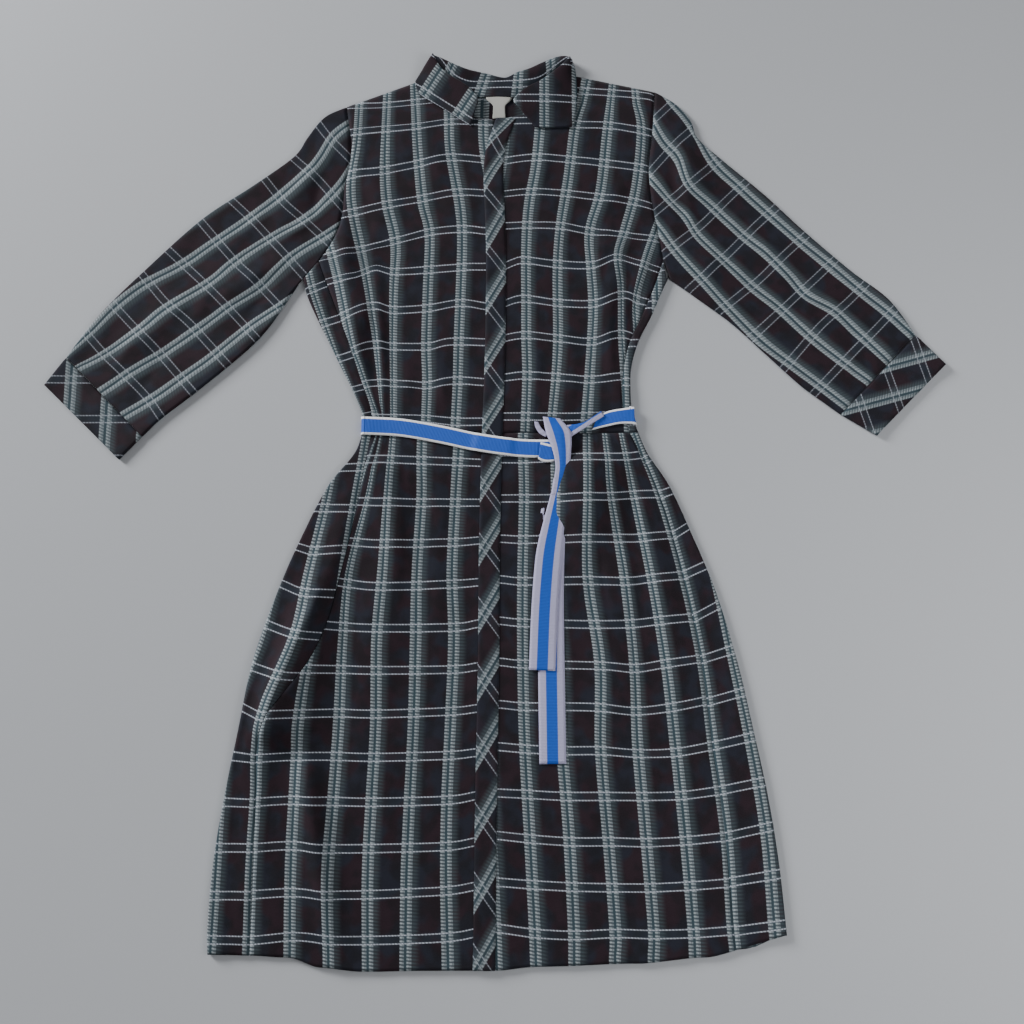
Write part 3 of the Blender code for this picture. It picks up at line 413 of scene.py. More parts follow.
# %% Small creases, each a line with a half width and a height, negative for a trough
BODY_CREASES = (
    Crease(-0.137, 0.780, -0.124, 0.612, 0.005, 0.0026),
    Crease(-0.148, 0.770, -0.135, 0.620, 0.006, -0.0012),
    Crease(0.191, 0.832, 0.150, 0.716, 0.005, 0.0022),
    Crease(0.199, 0.815, 0.160, 0.700, 0.006, -0.0012),
    Crease(0.140, 0.850, 0.118, 0.760, 0.006, 0.0014),
    Crease(-0.165, 0.905, -0.120, 0.850, 0.008, 0.0012),
    Crease(-0.160, 0.860, -0.095, 0.790, 0.009, 0.0014),
    Crease(-0.080, 0.960, -0.060, 0.870, 0.010, 0.0010),
    Crease(0.165, 0.900, 0.110, 0.830, 0.009, 0.0012),
    Crease(0.060, 0.950, 0.055, 0.860, 0.011, 0.0010),
    Crease(-0.100, 0.660, -0.095, 0.600, 0.006, 0.0012),
    Crease(-0.060, 0.670, -0.058, 0.605, 0.006, 0.0010),
    Crease(0.050, 0.690, 0.052, 0.606, 0.006, 0.0012),
    Crease(0.095, 0.680, 0.090, 0.610, 0.006, 0.0010),
    Crease(0.135, 0.700, 0.140, 0.616, 0.006, 0.0012),
    Crease(-0.040, 0.700, 0.060, 0.690, 0.007, 0.0008),
    Crease(-0.062, 0.540, -0.066, 0.330, 0.011, 0.0014),
    Crease(-0.098, 0.545, -0.108, 0.380, 0.008, 0.0016),
    Crease(-0.075, 0.560, -0.078, 0.520, 0.006, 0.0012),
    Crease(0.024, 0.556, 0.022, 0.500, 0.006, 0.0010),
    Crease(-0.110, 0.300, -0.112, 0.060, 0.015, 0.0012),
    Crease(-0.204, 0.236, -0.184, 0.110, 0.013, 0.0095),
    Crease(-0.192, 0.150, -0.167, 0.020, 0.013, 0.0085),
    Crease(-0.156, 0.752, -0.148, 0.680, 0.011, 0.0055),
    Crease(-0.180, 0.838, -0.172, 0.765, 0.011, 0.0050),
    Crease(-0.250, 0.190, -0.262, 0.020, 0.012, 0.0020),
    Crease(-0.030, 0.500, -0.030, 0.200, 0.010, -0.0006),
    Crease(0.052, 0.520, 0.050, 0.330, 0.010, 0.0010),
    Crease(0.090, 0.530, 0.098, 0.400, 0.008, 0.0012),
    Crease(0.112, 0.500, 0.130, 0.330, 0.0055, -0.0016),
    Crease(0.137, 0.520, 0.160, 0.330, 0.007, 0.0016),
    Crease(0.160, 0.330, 0.170, 0.050, 0.015, 0.0010),
    Crease(0.100, 0.260, 0.106, 0.040, 0.014, 0.0010),
    Crease(0.200, 0.300, 0.216, 0.040, 0.013, 0.0010),
)
SLEEVE_FINE_CREASES = (
    Crease(-0.206, 0.900, -0.216, 0.830, 0.006, -0.0014),
    Crease(-0.195, 0.860, -0.260, 0.800, 0.006, 0.0016),
    Crease(-0.270, 0.850, -0.330, 0.780, 0.008, 0.0012),
    Crease(-0.250, 0.770, -0.300, 0.700, 0.006, -0.0012),
    Crease(-0.300, 0.800, -0.360, 0.700, 0.008, 0.0010),
    Crease(-0.400, 0.720, -0.440, 0.650, 0.006, 0.0012),
    Crease(-0.370, 0.690, -0.410, 0.620, 0.006, -0.0010),
    Crease(0.205, 0.925, 0.222, 0.845, 0.006, -0.0018),
    Crease(0.214, 0.968, 0.262, 0.862, 0.009, 0.0032),
    Crease(0.222, 0.905, 0.236, 0.830, 0.006, 0.0016),
    Crease(0.220, 0.820, 0.270, 0.770, 0.007, 0.0014),
    Crease(0.300, 0.850, 0.340, 0.760, 0.008, 0.0012),
    Crease(0.350, 0.740, 0.390, 0.690, 0.006, 0.0012),
    Crease(0.400, 0.760, 0.420, 0.680, 0.007, -0.0010),
    Crease(0.430, 0.700, 0.400, 0.640, 0.006, 0.0010),
)
CREASE_ENDS = 0.45
# The dip along the belt, and where the creases fade: beside the waist and below the neck
GROOVE_DEPTH = 0.0011
GROOVE_HALF = 0.017
WAIST_CLEAR = 0.022
WAIST_FADE = 0.030
COLLAR_CLEAR = 0.985
COLLAR_FADE = 0.040
# Slopes that fall from a crest to a valley on its right, straight and broader than the folds
SLOPES = (
    (
        Fold(0.430, -0.184, 0.000, 0.016, 0.006),
        Fold(0.390, -0.194, 0.011, 0.016, 0.020),
        Fold(0.330, -0.220, 0.018, 0.018, 0.048),
        Fold(0.285, -0.236, 0.021, 0.018, 0.065),
        Fold(0.250, -0.244, 0.017, 0.018, 0.074),
        Fold(0.222, -0.250, 0.000, 0.018, 0.076),
    ),
    (
        Fold(0.562, 0.104, 0.000, 0.030, 0.050),
        Fold(0.540, 0.106, 0.011, 0.034, 0.052),
        Fold(0.490, 0.112, 0.012, 0.034, 0.050),
        Fold(0.450, 0.118, 0.004, 0.030, 0.050),
        Fold(0.390, 0.124, 0.000, 0.026, 0.050),
    ),
    (
        Fold(0.558, -0.122, 0.000, 0.026, 0.018),
        Fold(0.535, -0.118, 0.004, 0.028, 0.018),
        Fold(0.460, -0.112, 0.005, 0.028, 0.018),
        Fold(0.380, -0.106, 0.000, 0.026, 0.018),
    ),
)
# Unevenness: the width of each wave, the way that it runs, and its height
RIPPLES = (
    (0.031, 0.4, 0.00014),
    (0.047, -0.7, 0.00018),
    (0.075, 0.15, 0.00022),
    (0.019, 1.3, 0.00008),
)
WANDER = 0.35
WANDER_LENGTH = 2.3
print(len(BODY_CREASES), "creases on the body,", len(SLEEVE_FINE_CREASES), "on the sleeves")


def hem_at(x):
    """Height of the hem at x."""
    x = np.asarray(x, dtype=float)
    up = np.full(x.shape, HEM[-1][1])
    for (x0, up0), (x1, up1) in reversed(list(zip(HEM, HEM[1:]))):
        up = np.where(x <= x1, lerp(up0, up1, ease((x - x0) / (x1 - x0))), up)
    return up


def edge_at(side, up):
    """Outer edge of the body on the left or right at a height."""
    return np.where(
        up <= WAIST,
        follow(SKIRT_EDGE, up, side),
        follow(BODICE_EDGE, up, side),
    )


def fold_height(folds, x, up):
    """What the long folds add at a point of the body."""
    total = 0.0
    for fold in folds:
        middle = follow(fold, up, "x")
        reach = np.where(x < middle, follow(fold, up, "left"), follow(fold, up, "right"))
        total += np.maximum(0.0, follow(fold, up, "height")) * bell((x - middle) / reach)
    return total


def crease_height(creases, x, up):
    """What the small creases add. Each dies away to its sides and softly at its ends."""
    total = 0.0
    for c in creases:
        run_x, run_up = c.x1 - c.x0, c.up1 - c.up0
        long = math.hypot(run_x, run_up)
        along = ((x - c.x0) * run_x + (up - c.up0) * run_up) / long**2
        away = ((x - c.x0) * run_up - (up - c.up0) * run_x) / long
        total += c.height * bell(away / c.half) * bell((along - 0.5) / CREASE_ENDS)
    return total


def slope_height(x, up):
    """What the broad slopes add beyond the long folds."""
    total = 0.0
    for slope in SLOPES:
        middle = follow(slope, up, "x")
        high = np.maximum(0.0, follow(slope, up, "height"))
        fall = np.clip(1.0 - (x - middle) / follow(slope, up, "right"), 0.0, 1.0)
        rise = bell((x - middle) / follow(slope, up, "left"))
        total = np.maximum(total, high * np.where(x < middle, rise, fall))
    return total


def ripple(x, up):
    """A slight unevenness everywhere, as in cloth that was laid out by hand."""
    waves = 0.0
    for width, turn, height in RIPPLES:
        along = x * math.cos(turn) + up * math.sin(turn)
        across = up * math.cos(turn) - x * math.sin(turn)
        wander = WANDER * np.sin(2 * math.pi * across / (width * WANDER_LENGTH) + turn)
        waves += height * np.sin(2 * math.pi * along / width + wander * 2 * math.pi)
    return waves


def body_base(x, up):
    """Height of the solids' upper face."""
    near = np.minimum(np.abs(x - edge_at("left", up)), np.abs(x - edge_at("right", up)))
    swell = EDGE_SWELL * bell(near / SWELL_REACH) * (1.0 - ease((up - SWELL_TOP) / SWELL_FADE))
    air = AIR * (1.0 - NECK_FLAT * ease((up - NECK_LOW - NECK_SLOPE * np.abs(x)) / NECK_FADE))
    lift = BELT_LIFT * (1.0 - ease((np.abs(up - WAIST) - LIFT_HALF) / LIFT_FADE))
    folds = fold_height(SKIRT_FOLDS, x, up) + fold_height(BODICE_FOLDS, x, up)
    return LAYERS + air + lift + swell + folds


def belt_groove(x, up):
    """How far the cloth is drawn in along the belt."""
    knots = np.array(RUN_LEFT[:-1] + RUN_RIGHT[1:])
    middle = np.interp(x, knots[:, 0], knots[:, 1])
    return GROOVE_DEPTH * bell((up - middle) / GROOVE_HALF)


def body_top(x, up):
    """Height of the finished cloth of the body, with its creases, which fade at belt and neck."""
    fine = crease_height(BODY_CREASES, x, up) + ripple(x, up)
    fade = ease((np.abs(up - WAIST) - WAIST_CLEAR) / WAIST_FADE)
    fade = fade * ease((COLLAR_CLEAR - up) / COLLAR_FADE)
    folds = np.maximum(0.0, fold_height(SKIRT_FOLDS, x, up))
    broad = np.maximum(0.0, slope_height(x, up) - folds)
    return body_base(x, up) + broad + fine * fade - belt_groove(x, up)


def belt_line(x):
    """Height above the hem of the belt's hidden run behind the back."""
    (x0, up0), (x1, up1) = RUN_LEFT[0], RUN_RIGHT[-1]
    return lerp(up0, up1, (x - x0) / (x1 - x0))


def back_floor(x, up):
    """Height of the underside of the back, which rises only over the belt behind it."""
    rise = 1.0 - ease((np.abs(up - belt_line(x)) - FLOOR_HALF) / FLOOR_FADE)
    return BELT_LIFT * rise


# %% [markdown]
# ## The check
#
# The cloth is woven with pairs of pale lines both ways. Along the cloth each line is a ladder
# of short thick dashes, 3.6 mm apart, with teal between the two. Across it each is a thin
# running line with a little blue between. A repeat is 41 mm wide and 47 mm high. The lines
# follow the cloth as it lies, so for each panel a few of them are listed where they lie. They
# were read from the photo and turned into millimetres. The rest of the cloth is worked
# out between them.

# %% Where the lines lie, in millimetres from the centre front and the hem
MM = 0.001
LINE_STEPS = 80
END_REACH = 12
LEAST_GAP = 0.2
REPEAT_WIDE = 0.0412
REPEAT_HIGH = 0.0468
SKIRT_LEFT_COLUMNS = (
    ((-40, 553), (-43, 503), (-46, 420), (-43, 346), (-46, 255), (-49, 174), (-49, 98), (-46, 11)),
    ((-82, 553), (-81, 503), (-85, 420), (-85, 346), (-86, 255), (-89, 170), (-91, 98), (-91, 11)),
    ((-117, 561), (-120, 503), (-123, 420), (-128, 346), (-127, 255), (-130, 174), (-132, 98),
     (-130, 8)),
    ((-135, 549), (-143, 503), (-162, 420), (-166, 346), (-167, 255), (-171, 170), (-174, 98),
     (-171, 11)),
    ((-142, 549), (-155, 503), (-178, 420), (-197, 346), (-209, 262), (-213, 174), (-214, 98),
     (-212, 18)),
    ((-150, 549), (-166, 503), (-190, 420), (-224, 346), (-251, 248), (-254, 174), (-256, 98),
     (-256, 21)),
)
WRAP_LEFT_COLUMNS = (
    ((-148, 553), (-156, 499), (-166, 420), (-176, 346), (-203, 255), (-213, 174), (-212, 18)),
    ((-181, 542), (-190, 492), (-205, 420), (-218, 346), (-252, 255), (-254, 174), (-256, 115),
     (-256, 21)),
    ((-220, 542), (-224, 492), (-242, 420), (-257, 346), (-286, 255), (-292, 174), (-293, 115),
     (-295, 21)),
)
SKIRT_LEFT_ROWS = (
    ((-290, 32), (-255, 31), (-208, 35), (-172, 32), (-130, 31), (-48, 34), (-16, 39)),
    ((-294, 77), (-256, 77), (-214, 79), (-174, 77), (-132, 77), (-49, 81), (-16, 86)),
    ((-291, 125), (-256, 125), (-214, 127), (-173, 124), (-132, 124), (-50, 126), (-17, 131)),
    ((-258, 172), (-213, 174), (-171, 173), (-130, 172), (-49, 174), (-17, 179)),
    ((-253, 218), (-211, 220), (-169, 220), (-128, 219), (-48, 221), (-17, 224)),
    ((-210, 265), (-168, 266), (-127, 265), (-45, 268), (-18, 271)),
    ((-208, 313), (-166, 313), (-130, 312), (-44, 313), (-18, 316)),
    ((-169, 360), (-127, 358), (-44, 359), (-18, 363)),
    ((-163, 408), (-124, 404), (-46, 407), (-18, 409)),
    ((-153, 454), (-120, 452), (-45, 454), (-19, 456)),
    ((-145, 500), (-120, 499), (-43, 499), (-19, 499)),
    ((-137, 549), (-118, 549), (-40, 546), (-19, 545)),
)
WRAP_LEFT_ROWS = (
    ((-296, 32), (-255, 31)),
    ((-294, 76), (-257, 76)),
    ((-291, 125), (-259, 125)),
    ((-288, 172), (-258, 171)),
    ((-281, 220), (-252, 217)),
    ((-273, 273), (-254, 264), (-239, 262)),
    ((-264, 316), (-230, 306), (-201, 305)),
    ((-249, 362), (-217, 351), (-180, 348)),
    ((-232, 406), (-208, 397), (-167, 396)),
    ((-213, 447), (-200, 444), (-164, 446)),
    ((-192, 493), (-158, 492)),
    ((-171, 539), (-144, 540)),
)
SKIRT_RIGHT_COLUMNS = (
    ((34, 553), (35, 503), (33, 412), (33, 320), (35, 230), (40, 136), (45, 41), (46, 11)),
    ((70, 553), (70, 503), (69, 412), (72, 320), (75, 230), (82, 136), (86, 41), (86, 11)),
    ((107, 565), (106, 507), (105, 412), (118, 320), (117, 227), (124, 132), (130, 41), (129, 14)),
    ((129, 553), (132, 503), (147, 412), (155, 316), (157, 230), (164, 132), (170, 41), (169, 14)),
    ((150, 553), (157, 511), (175, 412), (189, 320), (198, 230), (206, 136), (212, 44), (213, 14)),
    ((169, 553), (188, 503), (212, 414), (230, 320), (239, 232), (250, 138), (253, 48), (255, 24)),
)
WRAP_RIGHT_COLUMNS = (
    SKIRT_RIGHT_COLUMNS[-1],
    ((201, 553), (222, 503), (246, 414), (262, 327), (278, 241), (292, 143), (297, 48), (298, 31)),
    ((235, 553), (256, 503), (279, 414), (298, 327), (316, 241), (332, 143), (339, 48), (340, 31)),
)
SKIRT_RIGHT_ROWS = (
    ((15, 42), (45, 38), (86, 36), (130, 38), (170, 37), (212, 38), (255, 41)),
    ((15, 89), (44, 87), (84, 85), (129, 84), (168, 84), (210, 86), (253, 89)),
    ((12, 137), (40, 134), (82, 131), (124, 131), (164, 130), (206, 132), (249, 136)),
    ((12, 181), (36, 180), (77, 178), (120, 178), (162, 178), (203, 179), (244, 184)),
    ((12, 230), (35, 228), (75, 226), (117, 226), (157, 223), (198, 224), (239, 231)),
    ((12, 275), (33, 273), (74, 273), (116, 272), (154, 268), (194, 272), (235, 280)),
    ((12, 321), (33, 319), (118, 317), (155, 314), (188, 319), (230, 325)),
    ((11, 366), (33, 364), (111, 362), (152, 363), (181, 366), (222, 370)),
    ((11, 412), (34, 410), (105, 411), (147, 410), (175, 413), (212, 417)),
    ((11, 458), (34, 457), (102, 458), (138, 458), (167, 459), (204, 463)),
    ((11, 504), (35, 504), (105, 504), (132, 505), (156, 508), (181, 509)),
    ((11, 549), (34, 549), (107, 551), (150, 552), (174, 555)),
)
WRAP_RIGHT_ROWS = (
    ((254, 40), (308, 47)),
    ((253, 90), (303, 98)),
    ((249, 136), (294, 146)),
    ((244, 184), (285, 192)),
    ((239, 231), (279, 240)),
    ((235, 278), (271, 288)),
    ((230, 324), (263, 334)),
    ((222, 369), (246, 382)),
    ((212, 417), (235, 427)),
    ((204, 463), (218, 472)),
    ((181, 506), (204, 514)),
    ((174, 549), (186, 555)),
)
BODICE_LEFT_COLUMNS = (
    ((-55, 976), (-53, 928), (-41, 860), (-38, 816), (-39, 754), (-41, 686), (-42, 638),
     (-44, 590)),
    ((-96, 990), (-92, 931), (-85, 863), (-76, 822), (-77, 754), (-78, 686), (-76, 638),
     (-77, 590)),
    ((-130, 990), (-131, 914), (-127, 860), (-116, 810), (-118, 754), (-118, 686), (-117, 641),
     (-116, 590)),
    ((-163, 990), (-165, 940), (-171, 892), (-168, 850), (-151, 775), (-142, 726), (-135, 680),
     (-127, 590)),
    ((-196, 990), (-200, 914), (-204, 850), (-189, 791), (-181, 760), (-164, 686), (-153, 656),
     (-133, 602)),
)
BODICE_WRAP_COLUMNS = (
    ((-190, 794), (-181, 760), (-164, 686), (-153, 656), (-133, 602)),
    ((-220, 784), (-210, 747), (-192, 698), (-175, 656), (-155, 611)),
    ((-249, 784), (-239, 747), (-220, 698), (-201, 656), (-179, 611)),
)
BODICE_LEFT_ROWS = (
    ((-136, 598), (-82, 597), (-44, 593), (-10, 593)),
    ((-154, 635), (-134, 639), (-94, 637), (-76, 636), (-45, 642), (-10, 640)),
    ((-161, 677), (-141, 685), (-115, 683), (-77, 683), (-51, 689), (-7, 688)),
    ((-171, 721), (-142, 732), (-116, 727), (-75, 730), (-40, 736), (-10, 732)),
    ((-184, 766), (-163, 770), (-140, 780), (-116, 775), (-75, 777), (-37, 780), (-5, 781)),
    ((-185, 795), (-149, 803), (-117, 812), (-76, 824), (-38, 828), (-11, 825)),
    ((-186, 844), (-162, 850), (-130, 858), (-88, 866), (-47, 874), (-11, 874)),
    ((-187, 892), (-164, 898), (-131, 902), (-95, 910), (-53, 919), (-13, 916)),
    ((-189, 950), (-162, 954), (-132, 957), (-96, 960), (-57, 966), (-24, 966)),
    ((-190, 986), (-151, 986), (-120, 988), (-54, 996)),
)
BODICE_WRAP_ROWS = (
    ((-173, 593), (-150, 599)),
    ((-177, 626), (-148, 634)),
    ((-187, 665), (-158, 674)),
    ((-200, 710), (-171, 720)),
    ((-218, 750), (-190, 763)),
    ((-229, 791), (-200, 803)),
)
BODICE_RIGHT_COLUMNS = (
    ((56, 976), (50, 911), (41, 857), (38, 803), (38, 738), (38, 692), (39, 647), (37, 590)),
    ((106, 990), (97, 960), (88, 892), (78, 828), (74, 772), (74, 695), (71, 647), (65, 590)),
    ((140, 990), (135, 950), (126, 876), (112, 825), (114, 778), (116, 726), (110, 647),
     (105, 590)),
    ((171, 990), (177, 954), (169, 882), (155, 828), (145, 794), (149, 754), (149, 695), (153, 635),
     (156, 590)),
    ((203, 990), (208, 931), (206, 873), (189, 822), (176, 784), (164, 741), (164, 695),
     (165, 590)),
)
BODICE_RIGHT_ROWS = (
    ((7, 599), (36, 599), (88, 599), (150, 602)),
    ((16, 646), (36, 648), (74, 646), (111, 643), (151, 647)),
    ((7, 692), (36, 697), (74, 693), (114, 689), (146, 698), (167, 692)),
    ((7, 733), (33, 741), (74, 736), (118, 735), (150, 746), (165, 741), (185, 735)),
    ((7, 778), (22, 786), (36, 789), (74, 784), (116, 783), (145, 793), (183, 781)),
    ((7, 832), (36, 833), (78, 832), (113, 825), (149, 820), (184, 816)),
    ((7, 872), (42, 875), (84, 873), (126, 868), (164, 863), (191, 855)),
    ((7, 913), (28, 917), (50, 919), (92, 916), (129, 912), (171, 906), (192, 902)),
    ((6, 967), (61, 967), (100, 962), (136, 961), (172, 955), (193, 950)),
    ((6, 1009), (61, 1009), (173, 1001), (194, 996)),
)
SLEEVE_LEFT_COLUMNS = (
    ((-168, 967), (-192, 947), (-208, 918), (-220, 902), (-258, 866), (-292, 838), (-332, 808),
     (-369, 781), (-409, 758), (-440, 732), (-464, 704)),
    ((-167, 911), (-184, 882), (-218, 844), (-259, 819), (-288, 800), (-308, 784), (-333, 761),
     (-381, 729), (-409, 704), (-450, 674), (-480, 658)),
    ((-188, 828), (-232, 798), (-252, 778), (-274, 754), (-308, 731), (-342, 704), (-384, 674),
     (-417, 653), (-448, 630)),
    ((-247, 733), (-284, 707), (-328, 668), (-356, 647), (-384, 625), (-420, 602)),
)
SLEEVE_LEFT_ROWS = (
    ((-469, 695), (-450, 674), (-426, 651), (-398, 623), (-380, 599)),
    ((-439, 729), (-418, 707), (-393, 682), (-362, 647)),
    ((-400, 757), (-381, 735), (-354, 712), (-326, 682)),
    ((-379, 797), (-342, 763), (-317, 738), (-290, 709)),
    ((-342, 832), (-305, 788), (-280, 764), (-253, 735)),
    ((-308, 860), (-284, 838), (-262, 814), (-225, 772)),
    ((-274, 892), (-249, 860), (-227, 841), (-203, 819)),
    ((-236, 914), (-211, 892), (-193, 871)),
    ((-210, 960), (-198, 944), (-179, 924)),
)
SLEEVE_RIGHT_COLUMNS = (
    ((212, 993), (234, 965), (260, 914), (293, 878), (327, 844), (361, 811), (395, 781), (428, 750),
     (456, 726), (488, 694)),
    ((185, 976), (202, 940), (219, 918), (230, 882), (259, 854), (291, 822), (319, 797), (344, 769),
     (364, 744), (395, 726), (420, 701), (458, 662)),
    ((174, 905), (206, 866), (226, 844), (240, 819), (269, 788), (300, 757), (334, 729), (367, 695),
     (398, 668), (432, 641)),
    ((195, 828), (216, 797), (247, 760), (275, 726), (309, 689), (342, 662), (376, 635),
     (409, 608)),
)
SLEEVE_RIGHT_ROWS = (
    ((481, 744), (446, 707), (419, 680), (388, 648)),
    ((447, 772), (413, 738), (380, 709), (352, 677)),
    ((411, 800), (376, 766), (346, 738), (318, 712)),
    ((377, 828), (343, 797), (312, 766), (285, 744)),
    ((343, 863), (309, 832), (278, 800), (251, 774)),
    ((311, 898), (277, 866), (247, 835), (216, 810)),
    ((280, 928), (249, 898), (218, 873), (191, 850)),
    ((238, 957), (214, 934), (192, 908)),
    ((218, 993), (194, 970)),
)
print("a repeat of the check is", round(REPEAT_WIDE / MM, 1), "by", round(REPEAT_HIGH / MM, 1), "mm")

# %% [markdown]
# A weaver counts lines: the third column and a half, the second row. For any point of a panel
# the same count is found from the lines on both sides of it, so the check bends with the cloth.

# %% From a place on the cloth to a place in the check
def drawn_line(points, coarse):
    """A measured line, finely stepped, as two arrays in metres."""
    given = sorted(points) if coarse == 0 else sorted(points, key=lambda p: p[1])
    dense = curve([(a * MM, b * MM) for a, b in given], LINE_STEPS)
    return dense[:, coarse], dense[:, 1 - coarse]


def read_line(line, at):
    """A line's place at many stations, carried on straight beyond its ends."""
    stations, places = line
    found = np.interp(at, stations, places)
    for end, near in ((0, END_REACH), (-1, -1 - END_REACH)):
        rise = (places[end] - places[near]) / (stations[end] - stations[near])
        beyond = at < stations[0] if end == 0 else at > stations[-1]
        found = np.where(beyond, places[end] + rise * (at - stations[end]), found)
    return found


def count_lines(lines, at, place, pitch):
    """How many lines a place is past the first, in lines and parts of one."""
    found = np.stack([read_line(line, at) for line in lines])
    count = (place - found[0]) / pitch
    for k in range(len(lines) - 1):
        gap = found[k + 1] - found[k]
        gap = np.where(np.abs(gap) < pitch * LEAST_GAP, pitch * LEAST_GAP, gap)
        count = np.where(place > found[k], k + (place - found[k]) / gap, count)
    past = place > found[-1]
    return np.where(past, len(lines) - 1 + (place - found[-1]) / pitch, count)


class Check:
    """The panel may lie turned."""

    def __init__(self, columns, rows, turn=0.0):
        self.turn = turn
        self.columns = self.laid(columns, 1)
        self.rows = self.laid(rows, 0)

    def turned(self, x, up):
        """A point as seen along the panel's own threads."""
        c, s = math.cos(self.turn), math.sin(self.turn)
        return x * c + up * s, up * c - x * s

    def laid(self, lines, coarse):
        """The measured lines of one kind, in their order on the panel."""
        made = []
        for line in lines:
            spots = [self.turned(a, b) for a, b in line]
            made.append(drawn_line(spots, coarse))
        return sorted(made, key=lambda line: line[1].mean())

    def at(self, x, up):
        """Place in the check, in whole repeats, of points on the panel."""
        x, up = self.turned(x, up)
        u = count_lines(self.columns, up, x, REPEAT_WIDE)
        v = count_lines(self.rows, x, up, REPEAT_HIGH)
        return np.stack((u, v), axis=-1)


class Plain:
    """An even check, for a piece where few lines show: a place, a turn and the two pitches."""

    def __init__(self, x0, up0, turn, wide=None, high=None):
        self.x0, self.up0, self.turn = x0, up0, turn
        self.wide = wide or REPEAT_WIDE
        self.high = high or REPEAT_HIGH

    def at(self, x, up):
        """Place in the check, in whole repeats, of points on the piece."""
        c, s = math.cos(self.turn), math.sin(self.turn)
        x, up = x - self.x0, up - self.up0
        return np.stack(((x * c + up * s) / self.wide, (up * c - x * s) / self.high), axis=-1)


SLEEVE_TURN = math.radians(45.0)
CUFF_RIGHT_TURN = math.radians(105.6)
skirt_left_check = Check(SKIRT_LEFT_COLUMNS, SKIRT_LEFT_ROWS)
skirt_right_check = Check(SKIRT_RIGHT_COLUMNS, SKIRT_RIGHT_ROWS)
wrap_left_check = Check(WRAP_LEFT_COLUMNS, WRAP_LEFT_ROWS)
wrap_right_check = Check(WRAP_RIGHT_COLUMNS, WRAP_RIGHT_ROWS)
bodice_left_check = Check(BODICE_LEFT_COLUMNS, BODICE_LEFT_ROWS)
bodice_right_check = Check(BODICE_RIGHT_COLUMNS, BODICE_RIGHT_ROWS)
bodice_wrap_left_check = Check(BODICE_WRAP_COLUMNS, BODICE_WRAP_ROWS)
bodice_wrap_right_check = Plain(x0=0.190, up0=0.640, turn=0.0)
sleeve_left_check = Check(SLEEVE_LEFT_COLUMNS, SLEEVE_LEFT_ROWS, -SLEEVE_TURN)
sleeve_right_check = Check(SLEEVE_RIGHT_COLUMNS, SLEEVE_RIGHT_ROWS, SLEEVE_TURN)
cuff_left_check = Plain(x0=-0.486, up0=0.690, turn=0.0, wide=0.0430)
cuff_right_check = Plain(x0=0.452, up0=0.658, turn=CUFF_RIGHT_TURN, wide=0.0362, high=0.0420)
print(len(SKIRT_LEFT_COLUMNS + SKIRT_RIGHT_COLUMNS), "columns of the check on the skirt's front")

# %% [markdown]
# ## Finishes
#
# The real cloth is woven from dyed yarn. Here nodes draw the check from each piece's own map,
# so it bends with the cloth: a dark ground, plum in the middle of each check and greener
# beside the lines, pale dashes and threads over it, and crepe and yarn as bumps.

# %% Colours and the check's nodes
def paint(red, green, blue):
    """A colour given as a screen shows it, in the renderer's own values."""
    linear = []
    for value in (red, green, blue):
        value /= 255.0
        linear.append(value / 12.92 if value <= 0.04045 else ((value + 0.055) / 1.055) ** 2.4)
    return (*linear, 1.0)


ELSEWHERE = (7.3, 2.9, 0.0)


